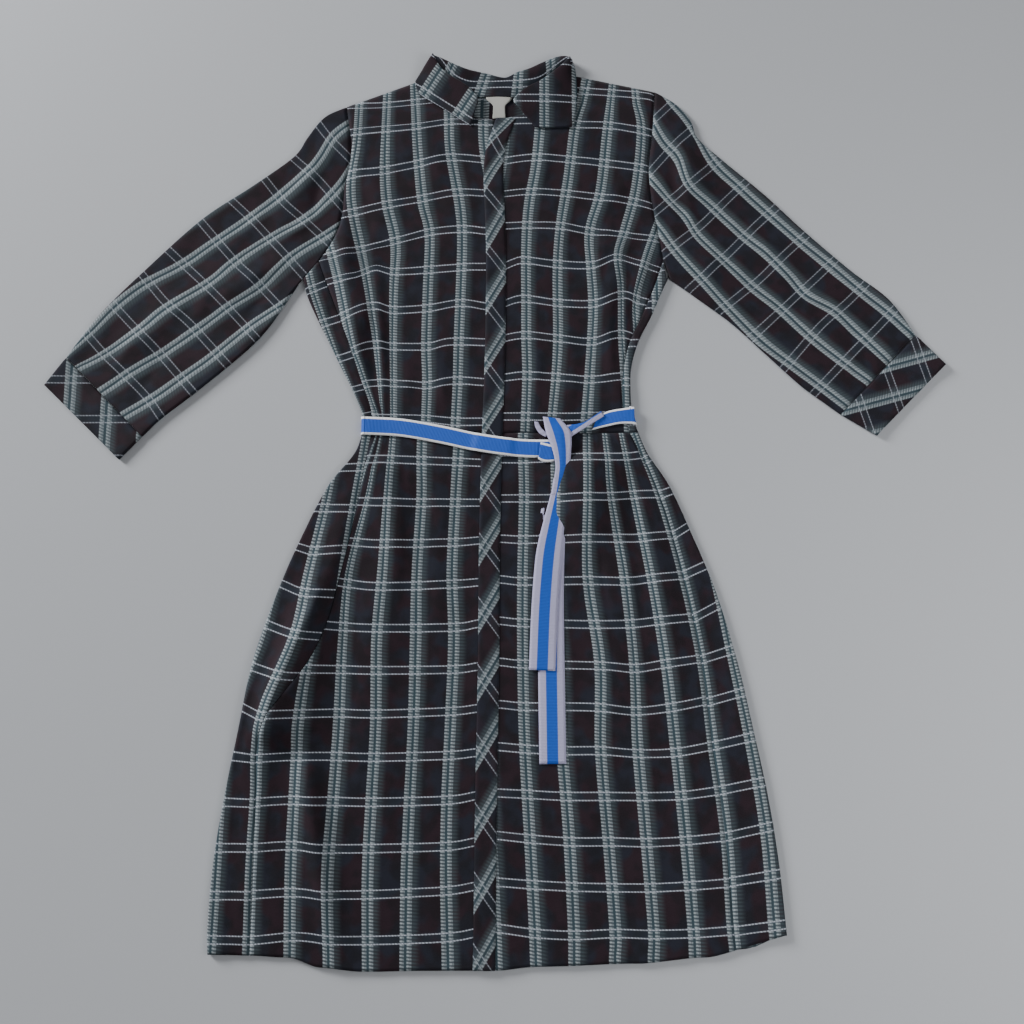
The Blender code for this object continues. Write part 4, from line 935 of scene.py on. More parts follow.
class Wiring:
    """Short ways to add nodes to one tree."""

    def __init__(self, tree):
        self.tree = tree

    def put(self, socket, value):
        """Links another node's socket, or sets a plain value."""
        if isinstance(value, bpy.types.NodeSocket):
            self.tree.links.new(value, socket)
        else:
            socket.default_value = value

    def maths(self, operation, *values):
        """One step of reckoning."""
        node = self.tree.nodes.new("ShaderNodeMath")
        node.operation = operation
        for socket, value in zip(node.inputs, values):
            self.put(socket, value)
        return node.outputs[0]

    def plus(self, first, second):
        return self.maths("ADD", first, second)

    def minus(self, first, second):
        return self.maths("SUBTRACT", first, second)

    def times(self, first, second):
        return self.maths("MULTIPLY", first, second)

    def size(self, value):
        """A value without its sign."""
        return self.maths("ABSOLUTE", value)

    def least(self, low, value):
        """A value from 0 to 1, raised so that it is never under low."""
        return self.plus(low, self.times(value, 1.0 - low))

    def ramp(self, value, low, high):
        """0 up to low and 1 from high, softly; low may be the greater."""
        node = self.tree.nodes.new("ShaderNodeMapRange")
        node.interpolation_type = "SMOOTHSTEP"
        self.put(node.inputs["Value"], value)
        node.inputs["From Min"].default_value = min(low, high)
        node.inputs["From Max"].default_value = max(low, high)
        node.inputs["To Min"].default_value = 0.0 if low < high else 1.0
        node.inputs["To Max"].default_value = 1.0 if low < high else 0.0
        return node.outputs["Result"]

    def mix(self, share, first, second):
        """A colour that is a share of the way from the first to the second."""
        node = self.tree.nodes.new("ShaderNodeMix")
        node.data_type = "RGBA"
        self.put(node.inputs["Factor"], share)
        self.put(node.inputs[6], first)
        self.put(node.inputs[7], second)
        return node.outputs[2]

    def shifted(self, where):
        """The same place elsewhere in the noise, for blotches of their own."""
        node = self.tree.nodes.new("ShaderNodeVectorMath")
        node.operation = "ADD"
        self.put(node.inputs[0], where)
        node.inputs[1].default_value = ELSEWHERE
        return node.outputs[0]

    def noise(self, where, scale, detail=2.0):
        """Soft noise from 0 to 1."""
        node = self.tree.nodes.new("ShaderNodeTexNoise")
        self.put(node.inputs["Vector"], where)
        node.inputs["Scale"].default_value = scale
        node.inputs["Detail"].default_value = detail
        return node.outputs["Fac"]

    def off_line(self, value, pitch):
        """Signed distance in millimetres from the nearest whole number of repeats."""
        part = self.maths("FRACT", self.plus(value, 0.5))
        return self.times(self.minus(part, 0.5), pitch)

    def teeth(self, value, count, duty, soft):
        """Even marks along a line, count to a repeat."""
        part = self.maths("FRACT", self.times(value, count))
        off = self.size(self.minus(part, 0.5))
        return self.ramp(off, duty / 2 + soft, duty / 2 - soft)


# A ladder's half width, its distance from the middle, the strength of its dashes, their least,
# the strength of the threads and of the teal between, and how far the dashes lean
Style = namedtuple("Style", "half gap dash solid thread between tilt")

# A row's threads, in millimetres: how far from its middle, and half their width
LINE_OFFSET = 4.15
THREAD_HALF = 0.62
# Marks in a repeat, the share of each that is yarn, and how softly it ends
DASHES = 13.0
DASH_SHARE = 0.42
DASH_SOFT = 0.22
BEADS = 12.0
BEAD_SHARE = 0.60
BEAD_SOFT = 0.20
# Grain of the flecks, of the blotches and of the crepe
FLECK_SCALE = 30.0
PATCH_SCALE = 2.2
CREPE_SCALE = 60.0
# Where a dash thins out towards its outer end, in millimetres, and how much
THIN_FROM = 1.6
THIN_TO = 3.4
THIN_LOSS = 0.42
# What stays of a dash, a bead and the green where the yarn is worn or lies under
WORN_DASH = 0.52
WORN_BEAD = 0.55
BEAD_LEAST = 0.40
HALO_LEAST = 0.35
# Softness of the threads and of the blue between, in millimetres, and how far the beads lean
THREAD_SOFT = 0.35
THREAD_CORE = 0.30
INSIDE_SOFT = 0.3
INSIDE_CORE = 1.2
BEAD_LEAN = 0.012
# The noise that counts as worn, tinted, blotched and creped, and the green's reach in millimetres
WORN = (0.32, 0.60)
TINTED = (0.42, 0.58)
BLOTCHED = (0.40, 0.62)
CREPED = (0.30, 0.70)
HALO_ENDS = (15.5, 7.5)
HALO_STARTS = (3.0, 6.5)
# Strength of the green beside a column, the dark blotches, the crepe, and the two inner tints
HALO = 0.80
BLOTCH = 0.6
CREPE = 0.14
ROW_TINT = 0.14
LADDER_TINT = 0.50
GROUND_PLUM = paint(37, 23, 31)
GROUND_BLUE = paint(29, 32, 43)
GROUND_DARK = paint(16, 15, 19)
CREPE_GREY = paint(72, 70, 76)
HALO_GREEN = paint(69, 81, 86)
ROW_BLUE = paint(58, 74, 84)
COLUMN_TEAL = paint(60, 80, 88)
LADDER_TEAL = paint(66, 80, 87)
THREAD_PALE = paint(186, 192, 204)
DASH_PALE = paint(178, 188, 193)
STRAIGHT = Style(2.4, 3.75, 0.95, 0.10, 0.98, 0.70, 0.0030)
ON_SLEEVE = Style(2.4, 3.80, 0.85, 0.45, 0.50, 0.60, 0.0100)
ON_BIAS = Style(2.5, 4.00, 0.72, 0.30, 0.55, 0.60, 0.0100)


def check_nodes(name, style):
    """The woven check as one group: from a place in the check to colour and yarn height."""
    tree = bpy.data.node_groups.new(name, "ShaderNodeTree")
    tree.interface.new_socket("Place", in_out="INPUT", socket_type="NodeSocketVector")
    tree.interface.new_socket("Color", in_out="OUTPUT", socket_type="NodeSocketColor")
    tree.interface.new_socket("Yarn", in_out="OUTPUT", socket_type="NodeSocketFloat")
    entry = tree.nodes.new("NodeGroupInput")
    leave = tree.nodes.new("NodeGroupOutput")
    w = Wiring(tree)
    place = entry.outputs["Place"]
    split = tree.nodes.new("ShaderNodeSeparateXYZ")
    tree.links.new(place, split.inputs[0])
    u, v = split.outputs[0], split.outputs[1]
    fleck = w.noise(place, FLECK_SCALE, 3.0)
    patchy = w.noise(place, PATCH_SCALE, 2.0)
    tinted = w.noise(w.shifted(place), PATCH_SCALE * 0.7, 1.0)
    side = w.off_line(u, REPEAT_WIDE / MM)
    rise = w.off_line(v, REPEAT_HIGH / MM)
    off_column = w.size(side)
    off_row = w.size(rise)
    # Columns: two ladders of short dashes with teal between
    in_ladder = w.minus(off_column, style.gap)
    ladder = w.ramp(w.size(in_ladder), style.half + 0.5, style.half - 0.5)
    across = w.times(in_ladder, w.maths("SIGN", side))
    outer = w.ramp(across, THIN_FROM - style.half, THIN_TO - style.half)
    tilted = w.plus(v, w.times(across, style.tilt))
    dash = w.teeth(tilted, DASHES, DASH_SHARE, DASH_SOFT)
    worn = w.ramp(fleck, *WORN)
    rung = w.least(style.solid, dash)
    dash = w.times(rung, w.least(WORN_DASH, worn))
    dash = w.times(dash, w.minus(1.0, w.times(outer, THIN_LOSS)))
    dash = w.times(w.times(ladder, dash), style.dash)
    between = w.ramp(off_column, style.gap, style.gap - style.half)
    # Rows: two thin beaded lines with a little blue between
    from_thread = w.size(w.minus(off_row, LINE_OFFSET))
    thread = w.ramp(from_thread, THREAD_HALF + THREAD_SOFT, THREAD_HALF - THREAD_CORE)
    slanted = w.plus(u, w.times(rise, BEAD_LEAN))
    bead = w.teeth(slanted, BEADS, BEAD_SHARE, BEAD_SOFT)
    bead = w.least(BEAD_LEAST, bead)
    bead = w.times(bead, w.least(WORN_BEAD, worn))
    bead = w.times(w.times(thread, bead), style.thread)
    inside = w.ramp(off_row, LINE_OFFSET + INSIDE_SOFT, LINE_OFFSET - INSIDE_CORE)
    # Ground: a grey-green band to the right of each column, plum in the middle, both uneven
    halo = w.times(w.ramp(side, *HALO_ENDS), w.ramp(side, *HALO_STARTS))
    ground = w.mix(w.ramp(tinted, *TINTED), GROUND_PLUM, GROUND_BLUE)
    ground = w.mix(w.times(w.ramp(patchy, *BLOTCHED), BLOTCH), ground, GROUND_DARK)
    faint = w.least(HALO_LEAST, rung)
    ground = w.mix(w.times(w.times(halo, HALO), faint), ground, HALO_GREEN)
    crepe = w.ramp(w.noise(place, CREPE_SCALE, 1.0), *CREPED)
    ground = w.mix(w.times(crepe, CREPE), ground, CREPE_GREY)
    colour = w.mix(w.times(inside, ROW_TINT), ground, ROW_BLUE)
    colour = w.mix(w.times(between, style.between), colour, COLUMN_TEAL)
    colour = w.mix(w.times(ladder, LADDER_TINT), colour, LADDER_TEAL)
    colour = w.mix(bead, colour, THREAD_PALE)
    colour = w.mix(dash, colour, DASH_PALE)
    tree.links.new(colour, leave.inputs["Color"])
    tree.links.new(w.maths("MAXIMUM", dash, bead), leave.inputs["Yarn"])
    return tree


# How rough and how shiny the cloth is, and how much of its yarn and weave shows as bumps
GLOSS = 0.25
CLOTH_GLOSS = 0.12
CLOTH_ROUGH = 0.78
SHEEN = 0.05
SHEEN_ROUGH = 0.5
WEAVE_SCALE = 60.0
YARN_RISE = 0.6
WEAVE_BUMP = 0.35
WEAVE_DEPTH = 0.0004


def new_finish(name, colour, roughness, gloss=GLOSS):
    """A plain finish."""
    finish = bpy.data.materials.new(name)
    finish.use_nodes = True
    shader = finish.node_tree.nodes["Principled BSDF"]
    shader.inputs["Base Color"].default_value = colour
    shader.inputs["Roughness"].default_value = roughness
    shader.inputs["Specular IOR Level"].default_value = gloss
    return finish


def bumps(tree, height, strength, depth):
    """Small bumps in the surface of a tree's one shader."""
    bump = tree.nodes.new("ShaderNodeBump")
    bump.inputs["Strength"].default_value = strength
    bump.inputs["Distance"].default_value = depth
    tree.links.new(height, bump.inputs["Height"])
    tree.links.new(bump.outputs[0], tree.nodes["Principled BSDF"].inputs["Normal"])


def cloth_finish(name, style):
    """The checked cloth: the group's colour, a fine weave in the surface and a little sheen."""
    finish = new_finish(name, GROUND_PLUM, CLOTH_ROUGH, CLOTH_GLOSS)
    tree = finish.node_tree
    shader = tree.nodes["Principled BSDF"]
    shader.inputs["Sheen Weight"].default_value = SHEEN
    shader.inputs["Sheen Roughness"].default_value = SHEEN_ROUGH
    w = Wiring(tree)
    chart = tree.nodes.new("ShaderNodeUVMap")
    chart.uv_map = "cloth"
    group = tree.nodes.new("ShaderNodeGroup")
    group.node_tree = check_nodes(name + "_check", style)
    tree.links.new(chart.outputs[0], group.inputs["Place"])
    tree.links.new(group.outputs["Color"], shader.inputs["Base Color"])
    weave = w.noise(chart.outputs[0], WEAVE_SCALE, 2.0)
    height = w.plus(w.times(group.outputs["Yarn"], YARN_RISE), weave)
    bumps(tree, height, WEAVE_BUMP, WEAVE_DEPTH)
    return finish


checked = cloth_finish("checked_cloth_woven", STRAIGHT)
sleeve_cloth = cloth_finish("checked_cloth_on_sleeve", ON_SLEEVE)
bias = cloth_finish("bias_cloth_woven", ON_BIAS)
print("finishes for the cloth are ready")

# %% [markdown]
# The belt is a blue ribbon woven with fine ribs across it and a pale border along each edge.
# The borders take up more of the tails than of the run round the waist. The label is a plain
# matt white satin, painted grey as painted shade where it lies inside the neck.

# %% Ribbon and label
RIBBON_ROUGH = 0.55
BORDER_SOFT = 0.02
RIB_DARK = 0.55
RIB_SHARE = 0.6
RIB_BUMP = 0.4
RIB_DEPTH = 0.0003
LABEL_ROUGH = 0.6
RIBBON_BLUE = paint(32, 92, 200)
RUN_BORDER = paint(250, 251, 255)
TAIL_BORDER = paint(176, 174, 206)
# The label's white is painted grey: painted shade, as it lies in shade inside the neck
LABEL_WHITE_IN_SHADE = paint(180, 180, 175)


def ribbon_finish(name, core, border, core_share):
    """A blue ribbon with pale borders. Its map runs across it from 0 to 1, and along it in ribs."""
    finish = new_finish(name, core, RIBBON_ROUGH)
    tree = finish.node_tree
    shader = tree.nodes["Principled BSDF"]
    w = Wiring(tree)
    chart = tree.nodes.new("ShaderNodeUVMap")
    chart.uv_map = "cloth"
    split = tree.nodes.new("ShaderNodeSeparateXYZ")
    tree.links.new(chart.outputs[0], split.inputs[0])
    off = w.size(w.minus(split.outputs[0], 0.5))
    rim = w.ramp(off, core_share / 2 - BORDER_SOFT, core_share / 2 + BORDER_SOFT)
    ribs = w.maths("SINE", w.times(split.outputs[1], 2 * math.pi))
    shade = w.plus(0.5, w.times(ribs, 0.5))
    dark = tuple(c * RIB_DARK for c in core[:3]) + (1.0,)
    body = w.mix(w.times(shade, RIB_SHARE), core, dark)
    tree.links.new(w.mix(rim, body, border), shader.inputs["Base Color"])
    bumps(tree, ribs, RIB_BUMP, RIB_DEPTH)
    return finish


run_finish = ribbon_finish("ribbon_run", RIBBON_BLUE, RUN_BORDER, core_share=0.76)
tail_finish = ribbon_finish("ribbon_tail", RIBBON_BLUE, TAIL_BORDER, core_share=0.42)
label_finish = new_finish("label_satin_painted_shade", LABEL_WHITE_IN_SHADE, LABEL_ROUGH)
print("finishes for the ribbon and the label are ready")

# %% [markdown]
# ## Cloth on the solids
#
# Each piece is one net of points. It is laid over its solid, then given its thickness on the
# inner side. So its face is where the solid's face is, apart from the small creases.

# %% How a piece of cloth is made
WELD = 0.000002
SEAM_DIP = 0.0007
SEAM_HALF = 0.0022


def sheet(name, net, chart, finish, absent=None, ring=False):
    """A sheet of cloth from a net of points and its places in the check."""
    rows, across = net.shape[:2]
    bm = bmesh.new()
    bmesh.ops.create_grid(bm, x_segments=across - 1, y_segments=rows - 1, size=0.5)
    bm.verts.ensure_lookup_table()
    if len(bm.verts) != rows * across:
        raise RuntimeError("the grid has another number of points: " + name)
    points = net.reshape(-1, 3) + np.array(TO_ROW)
    for vert, point in zip(bm.verts, points.tolist()):
        vert.co = point
    layer = bm.loops.layers.uv.new("cloth")
    places = chart.reshape(-1, 2).tolist()
    for face in bm.faces:
        for loop in face.loops:
            loop[layer].uv = places[loop.vert.index]
    if absent is not None:
        gone = []
        for face in bm.faces:
            corner = min(vert.index for vert in face.verts)
            if absent(*divmod(corner, across)):
                gone.append(face)
        bmesh.ops.delete(bm, geom=gone, context="FACES")
    if ring:
        bmesh.ops.remove_doubles(bm, verts=bm.verts, dist=WELD)
    mesh = bpy.data.meshes.new(name)
    bm.to_mesh(mesh)
    bm.free()
    mesh.shade_smooth()
    mesh.materials.append(finish)
    piece = bpy.data.objects.new(name, mesh)
    bpy.context.collection.objects.link(piece)
    wall = piece.modifiers.new("thickness", "SOLIDIFY")
    wall.thickness = CLOTH
    wall.offset = -1.0
    return piece


def dress(node, net, chart, finish, absent=None, ring=False):
    """Sews a sheet for a node and says what it is."""
    piece = sheet(node + "_cloth", net, chart, finish, absent, ring)
    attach(piece, "root")
    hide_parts(node)
    print(piece.name, "is made, with", len(piece.data.polygons), "faces")
    return piece


def sewn_down(net, height, sides):
    """Heights of a panel, drawn down a little along the borders where it is sewn."""
    borders = {
        "left": net[:, :1],
        "right": net[:, -1:],
        "bottom": net[:1],
        "top": net[-1:],
    }
    for side in sides:
        away = np.linalg.norm(net - borders[side], axis=-1)
        height = height - SEAM_DIP * bell(away / SEAM_HALF)
    return height


# %% [markdown]
# ### Skirt
#
# Two fronts, cut on the straight, meet under the band. The back is wider than the laid skirt,
# so it comes round both folded edges on to the front, as far as the side seams.

# %% Skirt fronts
SKIRT_ROWS = 150
SKIRT_STEPS = 66


def skirt_line(table, side, rows, shift):
    """Seam or edge points of the skirt, from the hem up."""
    foot = float(hem_at(read(table, 0.0, side)))
    ups = np.linspace(foot, WAIST - GAP / 2, rows + 1)
    return np.stack((follow(table, ups, side) + shift, ups), axis=1)


def hem_line(a, b, steps):
    """Hem points from x = a to x = b."""
    xs = np.linspace(a, b, steps + 1)
    return np.stack((xs, hem_at(xs)), axis=1)


def make_skirt_front(side, out, check):
    """A front between its side seam, the hem, the centre front and the waist."""
    seam = skirt_line(SKIRT_SEAM, side, SKIRT_ROWS, -out * GAP / 2)
    waist = WAIST - GAP / 2
    centre = straight((out * GAP / 2, float(hem_at(0.0))), (out * GAP / 2, waist), SKIRT_ROWS)
    foot = hem_line(seam[0, 0], centre[0, 0], SKIRT_STEPS)
    foot[0], foot[-1] = seam[0], centre[0]
    top = straight(seam[-1], centre[-1], SKIRT_STEPS)
    net = patch(foot, top, seam, centre)
    if out > 0:
        net = net[:, ::-1]
    x, up = net[..., 0], net[..., 1]
    sides = ("left", "top") if out < 0 else ("right", "top")
    height = sewn_down(net, body_top(x, up), sides)
    dress(
        "skirt_front_" + side, solid_points(net, height), check.at(x, up), checked,
    )


make_skirt_front("left", -1.0, skirt_left_check)
make_skirt_front("right", 1.0, skirt_right_check)


# %% [markdown]
# A back is one cloth. It lies flat on the surface, turns up round both folded edges in a narrow
# bend and ends at the side seams on top. So it is one net: wrap, underside, wrap.

# %% Backs, with both sides wrapped on to the front
WRAP_STEPS = 22
ARC_STEPS = 10
BACK_STEPS = 60


def bend(centre, out, height, floor, start, stop, steps=ARC_STEPS):
    """Points of a fold at an edge, for each row, from angle start at the top to stop."""
    radius = (height - floor) / 2
    angles = np.linspace(start, stop, steps + 1)
    reach = radius[:, None] * np.sin(angles)
    flat = centre[:, None, :] + out[:, None, :] * reach[..., None]
    up = floor[:, None] + radius[:, None] * (1.0 + np.cos(angles))
    return np.concatenate((flat, up[..., None]), axis=2)


def inset(edge, out):
    """Edge points moved in by the radius of the fold that they carry, and that fold's height."""
    height = body_base(edge[:, 0] - out * NEAR_EDGE, edge[:, 1])
    floor = back_floor(edge[:, 0], edge[:, 1])
    centre = edge.copy()
    centre[:, 0] -= out * (height - floor) / 2
    return centre, height, floor


def wrap(seam, edge, out):
    """The back where it comes round an edge on to the front, from the seam to the floor."""
    centre, height, floor = inset(edge, out)
    t = (np.arange(WRAP_STEPS) / WRAP_STEPS)[None, :, None]
    flat = lerp(seam[:, None], centre[:, None], t)
    x, up = flat[..., 0], flat[..., 1]
    top = lerp(body_top(x, up), height[:, None], ease(t[..., 0] * 2 - 1))
    top = top - SEAM_DIP * bell(np.linalg.norm(flat - seam[:, None], axis=-1) / SEAM_HALF)
    outs = np.tile((out, 0.0), (len(edge), 1))
    turn = bend(centre, outs, height, floor, 0.0, math.pi)
    return np.concatenate((solid_points(flat, top), turn), axis=1)


def back_chart(net, wrapped, left_check, right_check):
    chart = np.zeros(net.shape[:2] + (2,))
    turn = WRAP_STEPS + ARC_STEPS // 2
    far = net.shape[1] - 1 - turn
    left = left_check.at(net[:wrapped, : turn + 1, 0], net[:wrapped, : turn + 1, 1])
    right = right_check.at(net[:wrapped, far:, 0], net[:wrapped, far:, 1])
    steps = np.linalg.norm(np.diff(net[:wrapped, turn : far + 1], axis=1), axis=-1)
    along = np.concatenate((np.zeros((wrapped, 1)), np.cumsum(steps, axis=1)), axis=1)
    span = along[:, -1] / REPEAT_WIDE
    right[..., 0] += np.round(np.mean(left[:, -1, 0] - span - right[:, 0, 0]))
    right[..., 1] += np.round(np.mean(left[:, -1, 1] - right[:, 0, 1]))
    share = (along / along[:, -1:])[..., None]
    chart[:wrapped, : turn + 1] = left
    chart[:wrapped, far:] = right
    chart[:wrapped, turn : far + 1] = lerp(left[:, -1:], right[:, :1], share)
    for j in range(wrapped, net.shape[0]):
        rise = (net[j, turn : far + 1, 1] - net[wrapped - 1, turn : far + 1, 1]) / REPEAT_HIGH
        slide = (net[wrapped - 1, turn : far + 1, 0] - net[j, turn : far + 1, 0]) / REPEAT_WIDE
        chart[j] = chart[wrapped - 1]
        chart[j, turn : far + 1, 0] += slide
        chart[j, turn : far + 1, 1] += rise
    return chart


def make_back(node, seams, edges, under, checks):
    """A back from its underside, with a wrap at each side as far up as its seams go."""
    wrapped = len(seams[0])
    start = wrap(seams[0], edges[0], -1.0)
    end = wrap(seams[1], edges[1], 1.0)[:, ::-1]
    low = solid_points(under, back_floor(under[..., 0], under[..., 1]))
    rows, first, last = len(under), start.shape[1], end.shape[1]
    net = np.zeros((rows, first + under.shape[1] - 2 + last, 3))
    net[:wrapped, :first] = start
    net[:wrapped, -last:] = end
    net[wrapped:, :first] = low[wrapped:, :1]
    net[wrapped:, -last:] = low[wrapped:, -1:]
    net[:, first:-last] = low[:, 1:-1]
    across = net.shape[1]

    def absent(j, i):
        return j >= wrapped - 1 and (i < first - 1 or i >= across - last)

    chart = back_chart(net, wrapped, *checks)
    dress(
        node, net[:, ::-1], chart[:, ::-1], checked,
        absent=lambda j, i: absent(j, across - 2 - i),
    )


def make_skirt_back():
    """The skirt's back, from the hem to the waist."""
    seams = [skirt_line(SKIRT_SEAM, "left", SKIRT_ROWS, -GAP / 2),
             skirt_line(SKIRT_SEAM, "right", SKIRT_ROWS, GAP / 2)]
    edges = [skirt_line(SKIRT_EDGE, side, SKIRT_ROWS, 0.0) for side in ("left", "right")]
    left, right = inset(edges[0], -1.0)[0], inset(edges[1], 1.0)[0]
    foot = hem_line(left[0, 0], right[0, 0], BACK_STEPS)
    foot[0], foot[-1] = left[0], right[0]
    top = straight(left[-1], right[-1], BACK_STEPS)
    under = patch(foot, top, left, right)
    make_back(
        "skirt_back", seams, edges, under, (wrap_left_check, wrap_right_check),
    )


make_skirt_back()

# %% [markdown]
# ### Bodice
#
# Two fronts from the shoulders to the waist, and a back that wraps round below the armholes.

# %% Bodice fronts and back
SEAM_ROWS = 54
ARMHOLE_ROWS = 56
SHOULDER_STEPS = 30
NECK_STEPS = 26
BACK_SHOULDER_STEPS = 26
BACK_NECK_STEPS = 24


def bodice_line(table, side, top, shift):
    """Seam or edge points of the bodice, from the waist up."""
    ups = np.linspace(WAIST + GAP / 2, top, SEAM_ROWS + 1)
    return np.stack((follow(table, ups, side) + shift, ups), axis=1)


def armhole_line(armhole, rows):
    """Armhole points from the side seam to the shoulder tip."""
    return curve(armhole[1:], rows)


def make_bodice_front(side, out, armhole, neck, check):
    """A front between waist, side seam and armhole, shoulder and neckline, and centre front."""
    waist = WAIST + GAP / 2
    hole = armhole_line(armhole, ARMHOLE_ROWS)
    seam = bodice_line(BODICE_SEAM, side, SEAM_TOP, -out * GAP / 2)
    border = np.concatenate((seam, hole[1:]))
    rows, across = len(border) - 1, SHOULDER_STEPS + NECK_STEPS
    centre = straight((out * GAP / 2, waist), (out * GAP / 2, PLACKET_TOP), rows)
    foot = straight(border[0], centre[0], across)
    shoulder = straight(hole[-1], neck[0], SHOULDER_STEPS)
    top = np.concatenate((shoulder, curve(neck, NECK_STEPS)[1:]))
    top[-1] = centre[-1]
    net = patch(foot, top, border, centre)
    if out > 0:
        net = net[:, ::-1]
    x, up = net[..., 0], net[..., 1]
    sides = ("left", "top", "bottom") if out < 0 else ("right", "top", "bottom")
    height = sewn_down(net, body_top(x, up), sides)
    dress(
        "bodice_front_" + side, solid_points(net, height), check.at(x, up), checked,
    )


make_bodice_front(
    "left", -1.0, ARMHOLE_LEFT, NECKLINE_LEFT, bodice_left_check)
make_bodice_front(
    "right", 1.0, ARMHOLE_RIGHT, NECKLINE_RIGHT[::-1], bodice_right_check)


def make_bodice_back():
    """The bodice's back, which wraps on to the front as far up as the armholes."""
    seams = [bodice_line(BODICE_SEAM, "left", SEAM_TOP, -GAP / 2),
             bodice_line(BODICE_SEAM, "right", SEAM_TOP, GAP / 2)]
    edges = [bodice_line(BODICE_EDGE, side, ARMPIT, 0.0) for side in ("left", "right")]
    borders = []
    for edge, armhole, out in zip(edges, (ARMHOLE_LEFT, ARMHOLE_RIGHT), (-1.0, 1.0)):
        hole = armhole_line(armhole, ARMHOLE_ROWS)
        borders.append(np.concatenate((inset(edge, out)[0], hole[1:])))
    left, right = borders
    foot = straight(left[0], right[0], BACK_NECK_STEPS + 2 * BACK_SHOULDER_STEPS)
    neck = curve(BACK_NECK, BACK_NECK_STEPS)
    left_shoulder = straight(left[-1], NECK_LEFT, BACK_SHOULDER_STEPS)
    right_shoulder = straight(NECK_RIGHT, right[-1], BACK_SHOULDER_STEPS)
    top = np.concatenate((left_shoulder, neck[1:], right_shoulder[1:]))
    under = patch(foot, top, left, right)
    make_back(
        "bodice_back", seams, edges, under, (bodice_wrap_left_check, bodice_wrap_right_check),
    )


make_bodice_back()

# %% [markdown]
# ### Sleeves and their bands
#
# Each is a flattened tube, one cloth round both folds, with its seam on the under fold. The
# bands are cut on the bias.

# %% Sleeves and cuffs
SLEEVE_ROWS = 90
CUFF_ROWS = 14
ACROSS_TOP = 44
ACROSS_UNDER = 20
UNDER_FOLD_STEPS = 5
OVER_FOLD_STEPS = 10
BOW_FADE = 8
# Near the armhole a sleeve lies tight, and its folds swell only in the outer tenth
TIGHT = 0.9
TIGHT_REACH = 0.25
SWELL_SHARE = 0.10
# Ease at the armhole, in gaps, and how far the ends of the two folds are moved, in millimetres
HOLE_EASE = 1.2
UNDERARM_SHIFT = (1.5, 3.0)
SHOULDER_SHIFT = (0.6, -0.3)


def across_rows(under, over, start):
    """Rows of points across a sleeve, the first along start, whose bow fades out in the next."""
    rows, across = len(under) - 1, len(start) - 1
    t = shares(across)[None, :, None]
    bow = start - lerp(start[0], start[-1], t[0])
    fade = (1.0 - shares(rows))[:, None, None] ** BOW_FADE
    return lerp(under[:, None], over[:, None], t) + bow[None] * fade


def tube(start, under, over, side, tight, creases, drawn):
    """A net round a flattened sleeve: upper face, upper fold, underside and lower fold."""
    rows = len(under) - 1
    under_out, over_out = normals(under, -side), normals(over, side)
    radius = (LAYERS + AIR + EDGE_SWELL) / 2
    low_line, high_line = under - under_out * radius, over - over_out * radius
    start = np.concatenate((low_line[:1], start[1:-1], high_line[:1]))
    net = across_rows(low_line, high_line, start)
    across = len(start) - 1
    t = shares(across)[None, :]
    down = (1.0 - tight * (1.0 - ease(np.arange(rows + 1) / rows / TIGHT_REACH)))[:, None]
    swell = EDGE_SWELL * bell(np.minimum(t, 1.0 - t) / SWELL_SHARE) * down
    x, up = net[..., 0], net[..., 1]
    fine = sum(crease_height(table, x, up) for table in creases)
    base = LAYERS + AIR + swell
    height = base + (fine + ripple(x, up)) * np.sqrt(np.clip(np.sin(math.pi * t), 0.0, 1.0))
    if drawn:
        height = sewn_down(net, height, drawn)
    tops = solid_points(net, np.maximum(height, LAYERS))
    floor = np.zeros(rows + 1)
    first, last = tops[:, 0, 2], tops[:, -1, 2]
    quarter, half = math.pi / 2, math.pi
    up_turn = bend(net[:, 0], under_out, first, floor, quarter, 0.0, UNDER_FOLD_STEPS)
    over_turn = bend(net[:, -1], over_out, last, floor, 0.0, half, OVER_FOLD_STEPS)
    pick = np.linspace(0, across, ACROSS_UNDER + 1).round().astype(int)[::-1]
    lows = solid_points(net[:, pick], np.zeros((rows + 1, len(pick))))
    down_turn = bend(net[:, 0], under_out, first, floor, half, quarter, UNDER_FOLD_STEPS)
    round_it = (up_turn[:, :-1], tops, over_turn[:, 1:-1], lows, down_turn[:, 1:])
    return np.concatenate(round_it, axis=1)


def tube_chart(net, check, across):
    face = UNDER_FOLD_STEPS + across + 1 + OVER_FOLD_STEPS // 2
    chart = np.zeros(net.shape[:2] + (2,))
    chart[:, :face] = check.at(net[:, :face, 0], net[:, :face, 1])
    rest = check.at(net[:, face:, 0], net[:, face:, 1])
    edge = chart[:, face - 1 : face]
    rest[..., 0] = 2 * edge[..., 0] - rest[..., 0]
    chart[:, face:] = rest
    return chart


